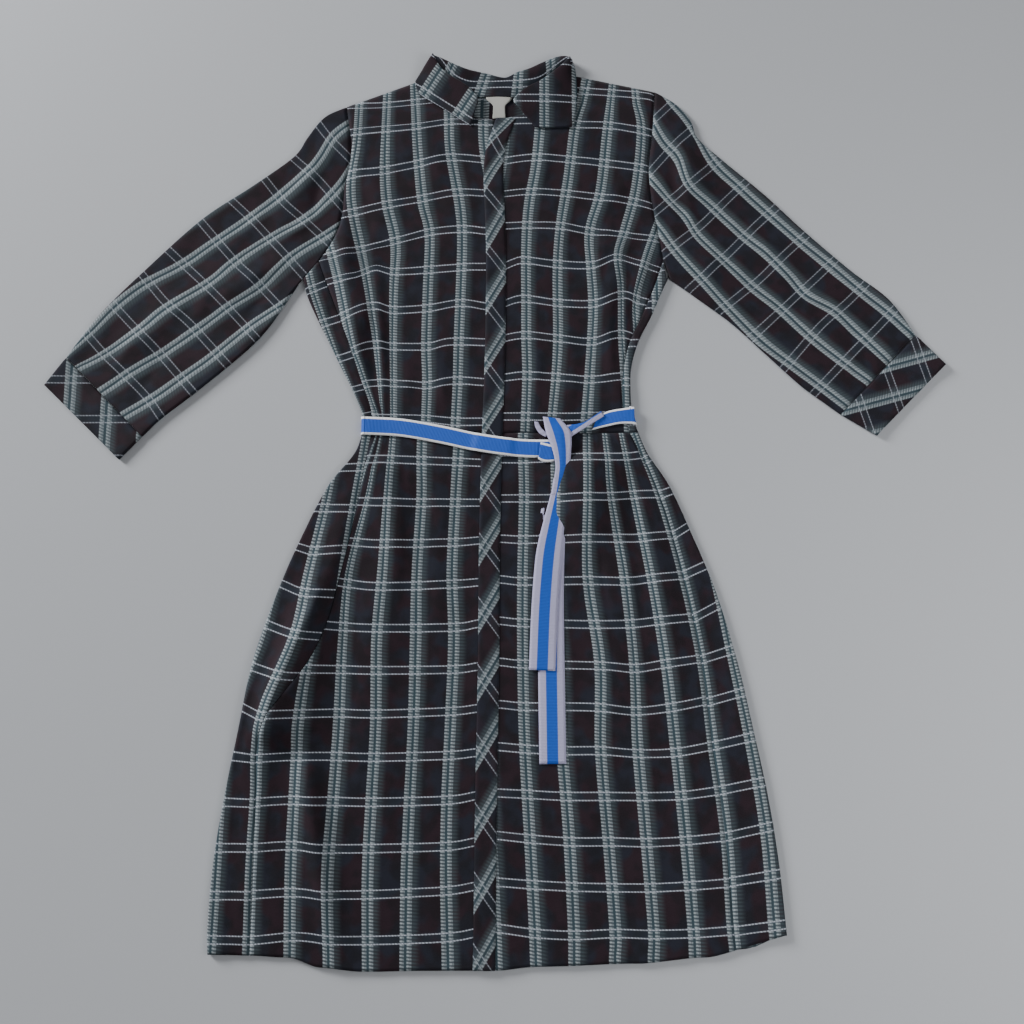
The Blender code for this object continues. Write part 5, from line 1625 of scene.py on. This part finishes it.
def make_sleeve(side, out, armhole, under, over, cuff_end, check, cuff_check):
    """A sleeve from its armhole to the band, and the band from there to its open end."""
    under_line = curve(under, SLEEVE_ROWS)
    over_line = curve(over, SLEEVE_ROWS)
    hole = np.concatenate((np.array(armhole[:1]), armhole_line(armhole, ACROSS_TOP - 1)))
    hole[:, 0] += out * HOLE_EASE * GAP
    under_line[0] += np.array((-out * UNDERARM_SHIFT[0], UNDERARM_SHIFT[1])) * MM
    over_line[0] += np.array((out * SHOULDER_SHIFT[0], SHOULDER_SHIFT[1])) * MM
    net = tube(
        hole, under_line, over_line, out, TIGHT, (SLEEVE_CREASES, SLEEVE_FINE_CREASES),
        ("bottom", "top"))
    chart = tube_chart(net, check, ACROSS_TOP)
    if out > 0:
        net, chart = net[:, ::-1], chart[:, ::-1]
    dress(
        "sleeve_" + side, net, chart, sleeve_cloth,
        ring=True)
    run = np.array(cuff_end[0]) - under_line[-1]
    run = run / np.linalg.norm(run) * GAP
    start_under, start_over = under_line[-1] + run, over_line[-1] + run
    net = tube(
        straight(start_under, start_over, ACROSS_TOP),
        straight(start_under, cuff_end[0], CUFF_ROWS),
        straight(start_over, cuff_end[1], CUFF_ROWS), out, 0.0, (), ("bottom",))
    chart = tube_chart(net, cuff_check, ACROSS_TOP)
    if out > 0:
        net, chart = net[:, ::-1], chart[:, ::-1]
    dress(
        "cuff_" + side, net, chart, bias,
        ring=True)


make_sleeve(
    "left", -1.0, ARMHOLE_LEFT, SLEEVE_LEFT_UNDER, SLEEVE_LEFT_UPPER, CUFF_LEFT_END,
    sleeve_left_check, cuff_left_check)
make_sleeve(
    "right", 1.0, ARMHOLE_RIGHT, SLEEVE_RIGHT_UNDER, SLEEVE_RIGHT_UPPER, CUFF_RIGHT_END,
    sleeve_right_check, cuff_right_check)

# %% [markdown]
# ### Front band
#
# A folded strip cut on the bias, sewn over the closed front from the neck to the hem. One set
# of its lines runs steeply from the upper right to the lower left, and the other across it.

# %% Front band
BAND_ROWS = 300
BAND_STEPS = 12
BAND_HALF = 0.0118
BAND_EDGE = 0.0016
BAND_ROLL = 0.0009
BAND_OVER = 0.002
Middle = namedtuple("Middle", "up x")
BAND_MIDDLE = (
    Middle(0.001, -0.0084), Middle(0.042, -0.0079), Middle(0.174, -0.0069), Middle(0.323, -0.0048),
    Middle(0.456, -0.0042), Middle(0.572, -0.0017), Middle(0.678, 0.0014), Middle(0.801, 0.0022),
    Middle(0.864, 0.0000), Middle(0.905, -0.0010), Middle(0.935, 0.0030), Middle(0.971, 0.0140),
)
# Where the steep lines and the opposite ones cross the middle of the band, from the hem up
BAND_LINES = (-56, 17, 88, 161, 235, 308, 383, 458, 530, 604, 680, 752, 830, 905, 957, 1030)
BAND_OPPOSITE = (-66, 6, 78, 149, 222, 296, 370, 443, 507, 574, 647, 720, 789, 862, 935, 1008)
BAND_STEEP = 1.7
BAND_OPPOSITE_STEEP = 1.35


def make_band():
    """The band along its own middle line, a little rounded at both edges."""
    ups = np.linspace(float(hem_at(0.0)), PLACKET_TOP + BAND_OVER, BAND_ROWS + 1)
    offs = np.linspace(-BAND_HALF, BAND_HALF, BAND_STEPS + 1)
    off, up = np.meshgrid(offs, ups)
    x = off + follow(BAND_MIDDLE, up, "x")
    rim = BAND_HALF - np.abs(off)
    height = body_top(x, up) + GAP + WALL - BAND_ROLL * bell(rim / BAND_EDGE)
    count = np.arange(len(BAND_LINES), dtype=float)
    steep = np.interp(up - BAND_STEEP * off, np.array(BAND_LINES) * MM, count)
    opposite = np.interp(up + BAND_OPPOSITE_STEEP * off, np.array(BAND_OPPOSITE) * MM, count)
    chart = np.stack((steep, opposite), axis=-1)
    dress(
        "placket", solid_points(np.stack((x, up), axis=-1), height), chart, bias)


make_band()

# %% [markdown]
# ### Collar
#
# Each leaf goes from its outer edge up to the roll line, over it and down inside to the neck
# seam. Between them lies the back of the collar, of which the inside of the stand is seen.

# %% Collar leaves and collar back
LEAF_ROWS = 34
LEAF_STEPS = 20
STAND_STEPS = 12
LEAF_HEIGHTS = (0.0125, 0.0100)
# The leaves' own repeats, and where their first lines lie
LEFT_LEAF_WIDE = 0.0495
LEFT_LEAF_START = (0.0010, 0.0044)
RIGHT_LEAF_WIDE = 0.0392
RIGHT_LEAF_START = (0.0598, 0.9932)
# The leaves lie spread: each rolls over a little lower than its solid, and shows the stand
SPREAD_LEFT_OUTER = (
    (-0.0959, 1.0177), (-0.0943, 1.0084), (-0.0875, 0.9985), (-0.0584, 0.9794), (-0.0288, 0.9591),
)
SPREAD_LEFT_ROLL = (
    (-0.0745, 1.0513), (-0.0658, 1.0347), (-0.0537, 1.0231), (-0.0404, 1.0149), (-0.0295, 1.0066),
    (-0.0210, 0.9964), (-0.0198, 0.9889),
)
SPREAD_RIGHT_OUTER = (
    (0.0972, 1.0370), (0.0987, 1.0238), (0.0998, 0.9986), (0.0985, 0.9780), (0.0950, 0.9630),
    (0.0930, 0.9585), (0.0900, 0.9575), (0.0700, 0.9565), (0.0486, 0.9572),
)
SPREAD_RIGHT_ROLL = (
    (0.0905, 1.0470), (0.0765, 1.0330), (0.0559, 1.0169), (0.0390, 1.0079), (0.0234, 0.9938),
    (0.0246, 0.9863),
)


def make_leaf(side, outer_line, roll_line, neck_line, check):
    """A leaf: its face up to the roll, the roll, and the stand down to the neck seam."""
    edge = curve(outer_line, LEAF_ROWS)
    roll = curve(roll_line, LEAF_ROWS)
    neck = curve(neck_line, LEAF_ROWS)
    out = roll - edge
    out /= np.linalg.norm(out, axis=1, keepdims=True)
    crest = roll - out * ROLL_RADIUS
    t = shares(LEAF_ROWS)
    high = lerp(*LEAF_HEIGHTS, t)
    low = LAYERS + AIR + 2 * GAP + WALL
    k = shares(LEAF_STEPS)[None, :]
    flat_net = lerp(edge[:, None], crest[:, None], k[..., None])
    face = solid_points(flat_net, lerp(low, high[:, None], ease(k * 0.9 + 0.1) * (k > 0)))
    stand_top = high - 2 * ROLL_RADIUS
    turn = bend(crest, out, high, stand_top, 0.0, math.pi, STAND_STEPS)
    s = shares(STAND_STEPS)[None, 1:]
    inner = lerp(crest[:, None], neck[:, None], s[..., None])
    stand = solid_points(inner, lerp(stand_top[:, None], LAYERS + AIR + GAP, ease(s)))
    net = np.concatenate((face, turn[:, 1:], stand), axis=1)
    if side == "left":
        net = net[:, ::-1]
    dress(
        "collar_" + side, net, check(net[..., 0], net[..., 1]), checked)


def left_leaf_check(x, up):
    """Rows run along the outer edge, and columns square to it."""
    (x0, up0), (x1, up1) = SPREAD_LEFT_OUTER[2], SPREAD_LEFT_OUTER[-1]
    long = math.hypot(x1 - x0, up1 - up0)
    along = ((x - x0) * (x1 - x0) + (up - up0) * (up1 - up0)) / long
    inward = ((up - up0) * (x1 - x0) - (x - x0) * (up1 - up0)) / long
    first, low = LEFT_LEAF_START
    return np.stack(((along - first) / LEFT_LEAF_WIDE, (inward - low) / REPEAT_HIGH), axis=-1)


def right_leaf_check(x, up):
    """An upright check, as the leaf lies straight."""
    first, low = RIGHT_LEAF_START
    return np.stack(((x - first) / RIGHT_LEAF_WIDE, (up - low) / REPEAT_HIGH), axis=-1)


make_leaf(
    "left", SPREAD_LEFT_OUTER, SPREAD_LEFT_ROLL, LEAF_LEFT_NECK, left_leaf_check)
make_leaf(
    "right", SPREAD_RIGHT_OUTER, SPREAD_RIGHT_ROLL, LEAF_RIGHT_NECK, right_leaf_check)

# %% [markdown]
# Behind the neck the same collar stands up from its seam, rolls over and falls behind. Seen
# from the front only the inside of the stand shows.

# %% Collar back
COLLAR_ROWS = 60
COLLAR_STEPS = 14
COLLAR_START = (0.35, 0.0165)
# The back of the collar: its top, with its height above the floor, and its lower edge
BACK_ROLL = (
    (-0.0740, 1.0510, 0.0118), (-0.0649, 1.0480, 0.0108), (-0.0467, 1.0396, 0.0088),
    (-0.0323, 1.0342, 0.0070), (-0.0202, 1.0315, 0.0055), (-0.0081, 1.0290, 0.0044),
    (0.0040, 1.0255, 0.0040), (0.0125, 1.0242, 0.0040), (0.0186, 1.0260, 0.0050),
    (0.0283, 1.0312, 0.0062), (0.0416, 1.0349, 0.0080), (0.0573, 1.0422, 0.0092),
    (0.0755, 1.0492, 0.0105), (0.0875, 1.0500, 0.0112), (0.0940, 1.0450, 0.0118),
)
BACK_FOOT = (
    (-0.0780, 1.0380), (-0.0620, 1.0120), (-0.0420, 1.0000), (-0.0200, 0.9985), (0.0040, 0.9990),
    (0.0300, 0.9985), (0.0560, 1.0030), (0.0800, 1.0220), (0.0940, 1.0340),
)


def make_collar_back():
    """The stand behind the neck, from the seam up to the roll and down behind it."""
    seam = curve(BACK_FOOT, COLLAR_ROWS)
    top = curve([point[:2] for point in BACK_ROLL], COLLAR_ROWS)
    high = np.interp(top[:, 0], *np.array(BACK_ROLL)[:, [0, 2]].T)
    out = top - seam
    out /= np.linalg.norm(out, axis=1, keepdims=True)
    crest = top - out * high[:, None] / 2
    t = shares(COLLAR_STEPS)[None, :]
    stand = solid_points(
        lerp(seam[:, None], crest[:, None], t[..., None]), lerp(LAYERS, high[:, None], ease(t)))
    turn = bend(crest, out, high, high * 0.0, 0.0, math.pi, STAND_STEPS)
    fall = lerp(crest[:, None], seam[:, None], t[:, 1:, None])
    fall = solid_points(fall, np.zeros(fall.shape[:2]))
    net = np.concatenate((stand, turn[:, 1:], fall), axis=1)
    steps = np.linalg.norm(np.diff(net, axis=1), axis=-1)
    along = np.concatenate((np.zeros((len(net), 1)), np.cumsum(steps, axis=1)), axis=1)
    length = np.concatenate(([0.0], np.cumsum(np.linalg.norm(np.diff(top, axis=0), axis=1))))
    first, low = COLLAR_START
    around = (length[:, None] + 0.0 * along) / REPEAT_WIDE + first
    chart = np.stack((around, (along - low) / REPEAT_HIGH), axis=-1)
    dress(
        "collar_back", net[:, ::-1], chart[:, ::-1], checked)


make_collar_back()

# %% [markdown]
# ### Ribbon belt
#
# One ribbon with pale borders goes round the waist, is knotted at the right of the front and
# hangs in two tails. It is made in the stretches that show: the left run, the right run with
# its twist, the run behind the back, the strap of the knot with its turn and its tip, and the
# two tails.

# %% Ribbon belt
RIB_PITCH = 0.0016
RIBBON_CROWN = 0.0003
RIBBON_STEPS = 10
TURN_STEPS = 12
BEHIND_STEPS = 39
# Where the cloth's height is felt under the ribbon: to both sides of a point, of the waist and
# of a tail's middle
FEEL_RIBBON = (-0.008, 0.0, 0.008)
FEEL_WAIST = (-0.030, -0.010, 0.010, 0.030)
FEEL_TAIL = (-0.014, 0.0, 0.014)
BAND_CLEAR = 0.002
BAND_FADE = 0.010


def ribbon_net(line, floor, width):
    """A net across a ribbon that lies along a line, with soft edges."""
    across = np.linspace(-0.5, 0.5, RIBBON_STEPS + 1)[None, :, None]
    flat = line[:, None] + normals(line, 1.0)[:, None] * across * np.reshape(width, (-1, 1, 1))
    crown = RIBBON_CROWN * (1.0 - (2 * across[..., 0]) ** 4)
    height = floor[:, None] + RIBBON - RIBBON_CROWN + crown
    return solid_points(flat, height)


def ribbon_chart(net):
    """Across from 0 to 1, along in ribs."""
    steps = np.linalg.norm(np.diff(net[:, net.shape[1] // 2], axis=0), axis=1)
    along = np.concatenate(([0.0], np.cumsum(steps))) / RIB_PITCH
    t = np.linspace(0.0, 1.0, net.shape[1])
    return np.stack((np.tile(t, (len(net), 1)), np.tile(along[:, None], (1, len(t)))), axis=-1)


def between(left_edge, right_edge, rows):
    """A net between two drawn edges, from the first edge across to the second."""
    near, far = curve(left_edge, rows), curve(right_edge, rows)
    return lerp(near[:, None], far[:, None], shares(RIBBON_STEPS)[None, :, None])


def ribbon_top(flat, lift):
    """Points of a ribbon's face, at a lift above the cloth that it crosses."""
    x, up = flat[..., 0], flat[..., 1]
    across = np.linspace(-1.0, 1.0, flat.shape[1])[None, :]
    rest = np.max([body_base(x + dx, up) for dx in FEEL_RIBBON], axis=0)
    return solid_points(flat, rest + GAP + lift + RIBBON_CROWN * (1.0 - across ** 4))


def run_floor(x):
    """Height of the underside of the belt where it crosses the front."""
    rest = np.max([body_base(x, WAIST + d + 0 * x) for d in FEEL_WAIST], axis=0)
    over = 1.0 - ease((np.abs(x) - PLACKET_WIDTH / 2 - BAND_CLEAR) / BAND_FADE)
    return rest + GAP + (WALL + GAP) * over


def tail_floor(line):
    """Height of the underside of a tail that lies on the skirt."""
    rest = np.max([body_base(line[:, 0] + dx, line[:, 1]) for dx in FEEL_TAIL], axis=0)
    return GAP + rest


def make_ribbon(node, net, finish, flip=True):
    """A stretch of the ribbon, from its net."""
    chart = ribbon_chart(net)
    if flip:
        net, chart = net[:, ::-1], chart[:, ::-1]
    dress(node, net, chart, finish)


def belt_turn(side, out, ups):
    """Points of the ribbon where it goes round a side, one row for each height."""
    edge = edge_at(side, ups)
    height = body_base(edge - out * NEAR_EDGE, ups)
    floor = back_floor(edge, ups)
    radius = (height - floor) / 2
    angles = np.linspace(0.0, math.pi, TURN_STEPS + 1)[:, None]
    reach = radius + GAP + RIBBON
    x = edge - out * radius + out * np.sin(angles) * SIDE_EASE * reach
    z = floor + radius + np.cos(angles) * reach
    return np.stack((x, np.tile(ups, (len(angles), 1)), z), axis=-1)


def belt_ends():
    """The turns of the belt round both sides."""
    ends = []
    for side, out, middle in (("left", -1.0, RUN_LEFT[0]), ("right", 1.0, RUN_RIGHT[-1])):
        ups = middle[1] + RUN_WIDTH * np.linspace(-0.5, 0.5, RIBBON_STEPS + 1)
        ends.append(belt_turn(side, out, ups))
    return ends


def make_belt_back(left, right):
    """The run behind the back, with its turns round both sides."""
    right = right[::-1]
    t = shares(BEHIND_STEPS)[1:-1, None, None]
    net = np.concatenate((left, lerp(left[-1][None], right[0][None], t), right))
    make_ribbon("belt_back", net, run_finish, flip=False)


def own_piece(name, net, chart, finish):
    """A part of the ribbon that has no solid of its own."""
    piece = sheet(name, net, chart, finish)
    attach(piece, "root")
    print(name, "is made, with", len(piece.data.polygons), "faces")
    return piece


# The right run: a wedge that comes from the knot, and the full width beyond a slanted fold
WEDGE_LOWER = ((0.0830, 0.5712), (0.0980, 0.5808), (0.1110, 0.5892), (0.1260, 0.5988))
WEDGE_UPPER = ((0.0810, 0.5880), (0.0960, 0.5895), (0.1060, 0.5930), (0.1225, 0.6046))
RUN_TOP = ((0.1190, 0.5990), (0.1317, 0.6053), (0.1485, 0.6082), (0.1590, 0.6100))
RUN_FOOT = ((0.1120, 0.5830), (0.1260, 0.5865), (0.1440, 0.5900), (0.1590, 0.5898))
BORDER_REACH = 0.0180
# Steps along each stretch
RUN_LEFT_STEPS = 94
RUN_RIGHT_STEPS = 40
WEDGE_STEPS = 34
LOWER_STEPS = 96
UPPER_STEPS = 80
STRAP_STEPS = 60
SHORT_STEPS = 16
# The runs go a little on round the sides, and the wedge bulges over the slanted fold
SIDE_OVERLAP = 0.0012
WEDGE_BULGE = 0.0012
# The tails: their narrow ends at the knot, where they reach full width, and how they arch there
LOWER_NECK = 0.010
LOWER_WIDENS = 0.534
LOWER_WIDEN_REACH = 0.050
LOWER_ARCH = 0.0004
UPPER_NECK = 0.0176
UPPER_WIDENS = 0.530
UPPER_WIDEN_REACH = 0.100
UPPER_ARCH = 0.0016
UPPER_TUCK = 0.0009
UPPER_TUCK_REACH = 0.009
ARCH_AT = 0.530
ARCH_REACH = 0.030
TAIL_LOWER_TOP = ((0.0680, 0.5320), (0.0690, 0.5100))
TAIL_UPPER_TOP = ((0.0766, 0.5270), (0.0745, 0.5080))
STRAP_JOIN = 0.518
# The strap of the knot, from its slanted top down to the upper tail, which goes on from it
STRAP_LEFT = (
    (0.0562, 0.5983), (0.0596, 0.5796), (0.0668, 0.5586), (0.0700, 0.5412), (0.0690, 0.5297),
    (0.0676, 0.5205), (0.0652, 0.5080),
)
STRAP_RIGHT = (
    (0.0760, 0.5960), (0.0868, 0.5820), (0.0884, 0.5700), (0.0877, 0.5575), (0.0864, 0.5412),
    (0.0857, 0.5297), (0.0848, 0.5205), (0.0838, 0.5080),
)
WRAP_FOOT = ((0.0504, 0.5487), (0.0560, 0.5456), (0.0640, 0.5452), (0.0740, 0.5470))
WRAP_TOP = ((0.0536, 0.5680), (0.0590, 0.5668), (0.0660, 0.5650), (0.0760, 0.5640))
TIP_LEFT = ((0.0466, 0.5925), (0.0478, 0.5860), (0.0520, 0.5790), (0.0590, 0.5745))
TIP_RIGHT = ((0.0505, 0.5920), (0.0530, 0.5868), (0.0575, 0.5815), (0.0640, 0.5775))


def make_belt_front(left, right):
    """Both runs across the front, with the twist of the right one, and both tails."""
    start = (float(left[0, :, 0].min()) - SIDE_OVERLAP, RUN_LEFT[0][1])
    line = curve((start,) + RUN_LEFT[1:], RUN_LEFT_STEPS)
    floor = run_floor(np.maximum(line[:, 0], RUN_LEFT[0][0]))
    make_ribbon("belt_left", ribbon_net(line, floor, 0.0 * floor + RUN_WIDTH),
                run_finish)
    reach = float(right[0, :, 0].max()) + SIDE_OVERLAP
    foot = RUN_FOOT[:-1] + ((reach, RUN_FOOT[-1][1]),)
    top = RUN_TOP[:-1] + ((reach, RUN_TOP[-1][1]),)
    net = ribbon_top(between(foot, top, RUN_RIGHT_STEPS), RIBBON - RIBBON_CROWN)
    flat = between(WEDGE_LOWER, WEDGE_UPPER, WEDGE_STEPS)
    t = np.linspace(0.0, 1.0, len(flat))[:, None]
    wedge = ribbon_top(flat, 2 * RIBBON + GAP + WEDGE_BULGE * np.sin(math.pi * t))
    chart = ribbon_chart(wedge)
    off = np.linalg.norm(wedge - wedge[:, :1], axis=-1)
    chart[..., 0] = off / BORDER_REACH
    twist = own_piece("belt_right_twist", wedge[:, ::-1], chart[:, ::-1], tail_finish)
    make_ribbon("belt_right", net, run_finish)
    line = curve(TAIL_LOWER_TOP + TAIL_LOWER[1:], LOWER_STEPS)
    arch = LOWER_ARCH * bell((line[:, 1] - TAIL_LOWER[0][1]) / ARCH_REACH)
    floor = tail_floor(line) + arch
    wide = ease((LOWER_WIDENS - line[:, 1]) / LOWER_WIDEN_REACH)
    width = lerp(LOWER_NECK, TAIL_WIDTH, wide)
    make_ribbon("belt_tail_lower", ribbon_net(line, floor, width),
                tail_finish)
    line = curve(TAIL_UPPER_TOP + TAIL_UPPER[1:], UPPER_STEPS)
    arch = UPPER_ARCH * bell((line[:, 1] - ARCH_AT) / ARCH_REACH)
    floor = tail_floor(line) + RIBBON + GAP + arch
    floor -= UPPER_TUCK * np.clip((line[:, 1] - STRAP_JOIN) / UPPER_TUCK_REACH, 0.0, 1.0)
    wide = ease((UPPER_WIDENS - line[:, 1]) / UPPER_WIDEN_REACH)
    width = lerp(UPPER_NECK, TAIL_WIDTH, wide)
    make_ribbon("belt_tail_upper", ribbon_net(line, floor, width),
                tail_finish)


# %% [markdown]
# The knot is a strap over both runs. A turn of the ribbon comes out under it at the left, and
# the tip of its loop stands above it. The strap is highest in its first half and goes down
# into the upper tail.

# %% Knot
STRAP_ARCH = 0.0030
STRAP_ROUND = 0.35
STRAP_RISE = 0.25
STRAP_FALL_FROM = 0.40
STRAP_FALL = 0.60
STRAP_WAVE = 0.0003
WAVE_ACROSS = 7.0
WAVE_ALONG = 3.0
JOIN_STEP = 0.0006
JOIN_REACH = 0.010
TURN_LIFT = 0.0005
TIP_LIFT = 0.0006
TIP_RIBS = 0.25


def make_knot():
    """A strap over both runs, with the turn under it and the loop's tip above it."""
    flat = between(STRAP_LEFT, STRAP_RIGHT, STRAP_STEPS)
    t = np.linspace(0.0, 1.0, len(flat))[:, None]
    u = np.linspace(-1.0, 1.0, flat.shape[1])[None, :]
    arch = ease(t / STRAP_RISE) * (1.0 - ease((t - STRAP_FALL_FROM) / STRAP_FALL))
    past = np.clip((flat[..., 1] - STRAP_JOIN) / JOIN_REACH, -1.0, 1.0)
    low = RIBBON - RIBBON_CROWN + lerp(0.0, RIBBON + GAP, ease(t * 2)) + JOIN_STEP * past
    low = low + UPPER_ARCH * bell((flat[..., 1] - ARCH_AT) / ARCH_REACH)
    lift = low + STRAP_ARCH * arch * (1.0 - STRAP_ROUND * u * u)
    lift = lift + STRAP_WAVE * arch * np.sin(u * WAVE_ACROSS + t * WAVE_ALONG)
    strap = ribbon_top(flat, lift)
    turned = between(WRAP_FOOT, WRAP_TOP, SHORT_STEPS)
    turned = ribbon_top(turned, 2 * RIBBON + GAP + TURN_LIFT)
    wrap_piece = own_piece("belt_knot_wrap", turned, ribbon_chart(turned), run_finish)
    tip_net = ribbon_top(between(TIP_LEFT, TIP_RIGHT, SHORT_STEPS), RIBBON + TIP_LIFT)
    tip_chart = ribbon_chart(tip_net) * TIP_RIBS
    tip = own_piece("belt_knot_tip", tip_net, tip_chart, tail_finish)
    make_ribbon("belt_knot", strap, tail_finish, flip=False)


turns = belt_ends()
make_belt_front(*turns)
make_belt_back(*turns)
make_knot()

# %% [markdown]
# ### Neck label
#
# A small satin bar is sewn inside the back neck, and below it hangs a folded tab. Both are one
# sheet here and stay blank.

# %% Blank neck label
LABEL_WALL = 0.0008
LABEL_CROWN = 0.0003
LABEL_FOOT = 0.9705
LABEL_TOP = 1.0025
TAB_HALF = 0.0072
BAR_HALF = 0.0157
TAB_FLARE = 0.0006
TAB_FLARE_REACH = 0.2
BAR_FROM = 0.50
BAR_REACH = 0.34
FOOT_MIDDLE = 0.0054
TOP_MIDDLE = 0.0053
LABEL_ROWS = 24
LABEL_STEPS = 12


def make_label():
    """A plain woven bar that narrows to a folded tab, with no print on it."""
    t = shares(LABEL_ROWS)[:, None]
    u = np.linspace(-1.0, 1.0, LABEL_STEPS + 1)[None, :]
    up = lerp(LABEL_FOOT, LABEL_TOP, t)
    bar = ease((t - BAR_FROM) / BAR_REACH)
    half = lerp(TAB_HALF, BAR_HALF, bar) + TAB_FLARE * bell(t / TAB_FLARE_REACH)
    middle = lerp(FOOT_MIDDLE, TOP_MIDDLE, t)
    z = WALL + GAP + LABEL_WALL + LABEL_CROWN * (1.0 - u * u)
    net = np.stack((middle + u * half, up + 0.0 * u, z + 0.0 * t), axis=-1)
    chart = np.stack((net[..., 0], net[..., 1]), axis=-1)
    dress("neck_label", net, chart, label_finish)


make_label()

# %% [markdown]
# ## Floor, light and camera
#
# A plain pale floor under soft light from the upper left, and the camera where the
# photographer stood: above the dress, a little below its middle and tilted up it.

# %% Floor, light and camera
FLOOR_HALF_SIZE = 6.0
FLOOR_DROP = 0.0002
FLOOR_ROUGH = 0.9
FLOOR_GREY = paint(184, 187, 192)
CAMERA_PLACE = (0.0187, -0.2627, 1.221)
CAMERA_TILT = math.radians(10.3)
SENSOR_WIDTH = 36.0
LENS = 38.67
ROOM_WHITE = (1.0, 1.0, 1.0, 1.0)
ROOM_LIGHT = 0.16
# Lamps: a large one from the upper left, a small one for the left sleeve's corner, a wide fill
# from the lower right, and a weak one for the right side of the skirt
Lamp = namedtuple("Lamp", "name place target size power")
LAMPS = (
    Lamp("key", (-3.6, 2.4, 1.5), (-0.1, 0.1, 0.0), 1.4, 315.0),
    Lamp("corner", (-0.95, 0.95, 0.45), (-0.6, 0.5, 0.0), 0.5, 1.7),
    Lamp("fill", (1.2, -1.2, 2.4), (0.0, 0.0, 0.0), 2.4, 17.0),
    Lamp("side", (1.0, -0.35, 0.8), (0.5, -0.25, 0.0), 0.6, 5.5),
)


def make_floor():
    """A wide pale sheet just under the dress."""
    bm = bmesh.new()
    bmesh.ops.create_grid(bm, x_segments=1, y_segments=1, size=FLOOR_HALF_SIZE)
    mesh = bpy.data.meshes.new("floor")
    bm.to_mesh(mesh)
    bm.free()
    floor = bpy.data.objects.new("floor", mesh)
    floor.location = (0.0, 0.0, -FLOOR_DROP)
    mesh.materials.append(new_finish("floor_paper", FLOOR_GREY, FLOOR_ROUGH))
    bpy.context.collection.objects.link(floor)


def make_light(lamp):
    """A square lamp that shines from its place towards its target."""
    data = bpy.data.lights.new(lamp.name, "AREA")
    data.shape = "SQUARE"
    data.size = lamp.size
    data.energy = lamp.power
    light = bpy.data.objects.new(lamp.name, data)
    light.location = lamp.place
    towards = Vector(lamp.target) - Vector(lamp.place)
    light.rotation_euler = towards.to_track_quat("-Z", "Y").to_euler()
    bpy.context.collection.objects.link(light)


def make_camera():
    """The camera where the photographer stood."""
    data = bpy.data.cameras.new("camera")
    data.sensor_width = SENSOR_WIDTH
    data.lens = LENS
    camera = bpy.data.objects.new("camera", data)
    camera.location = CAMERA_PLACE
    camera.rotation_euler = (CAMERA_TILT, 0.0, 0.0)
    bpy.context.collection.objects.link(camera)
    bpy.context.scene.camera = camera


def make_room():
    """A little even light from all round."""
    world = bpy.data.worlds.new("room")
    bpy.context.scene.world = world
    world.use_nodes = True
    background = world.node_tree.nodes["Background"]
    background.inputs["Color"].default_value = ROOM_WHITE
    background.inputs["Strength"].default_value = ROOM_LIGHT


make_floor()
for lamp in LAMPS:
    make_light(lamp)
make_camera()
make_room()
print(len(LAMPS), "lamps, a floor and the camera stand")
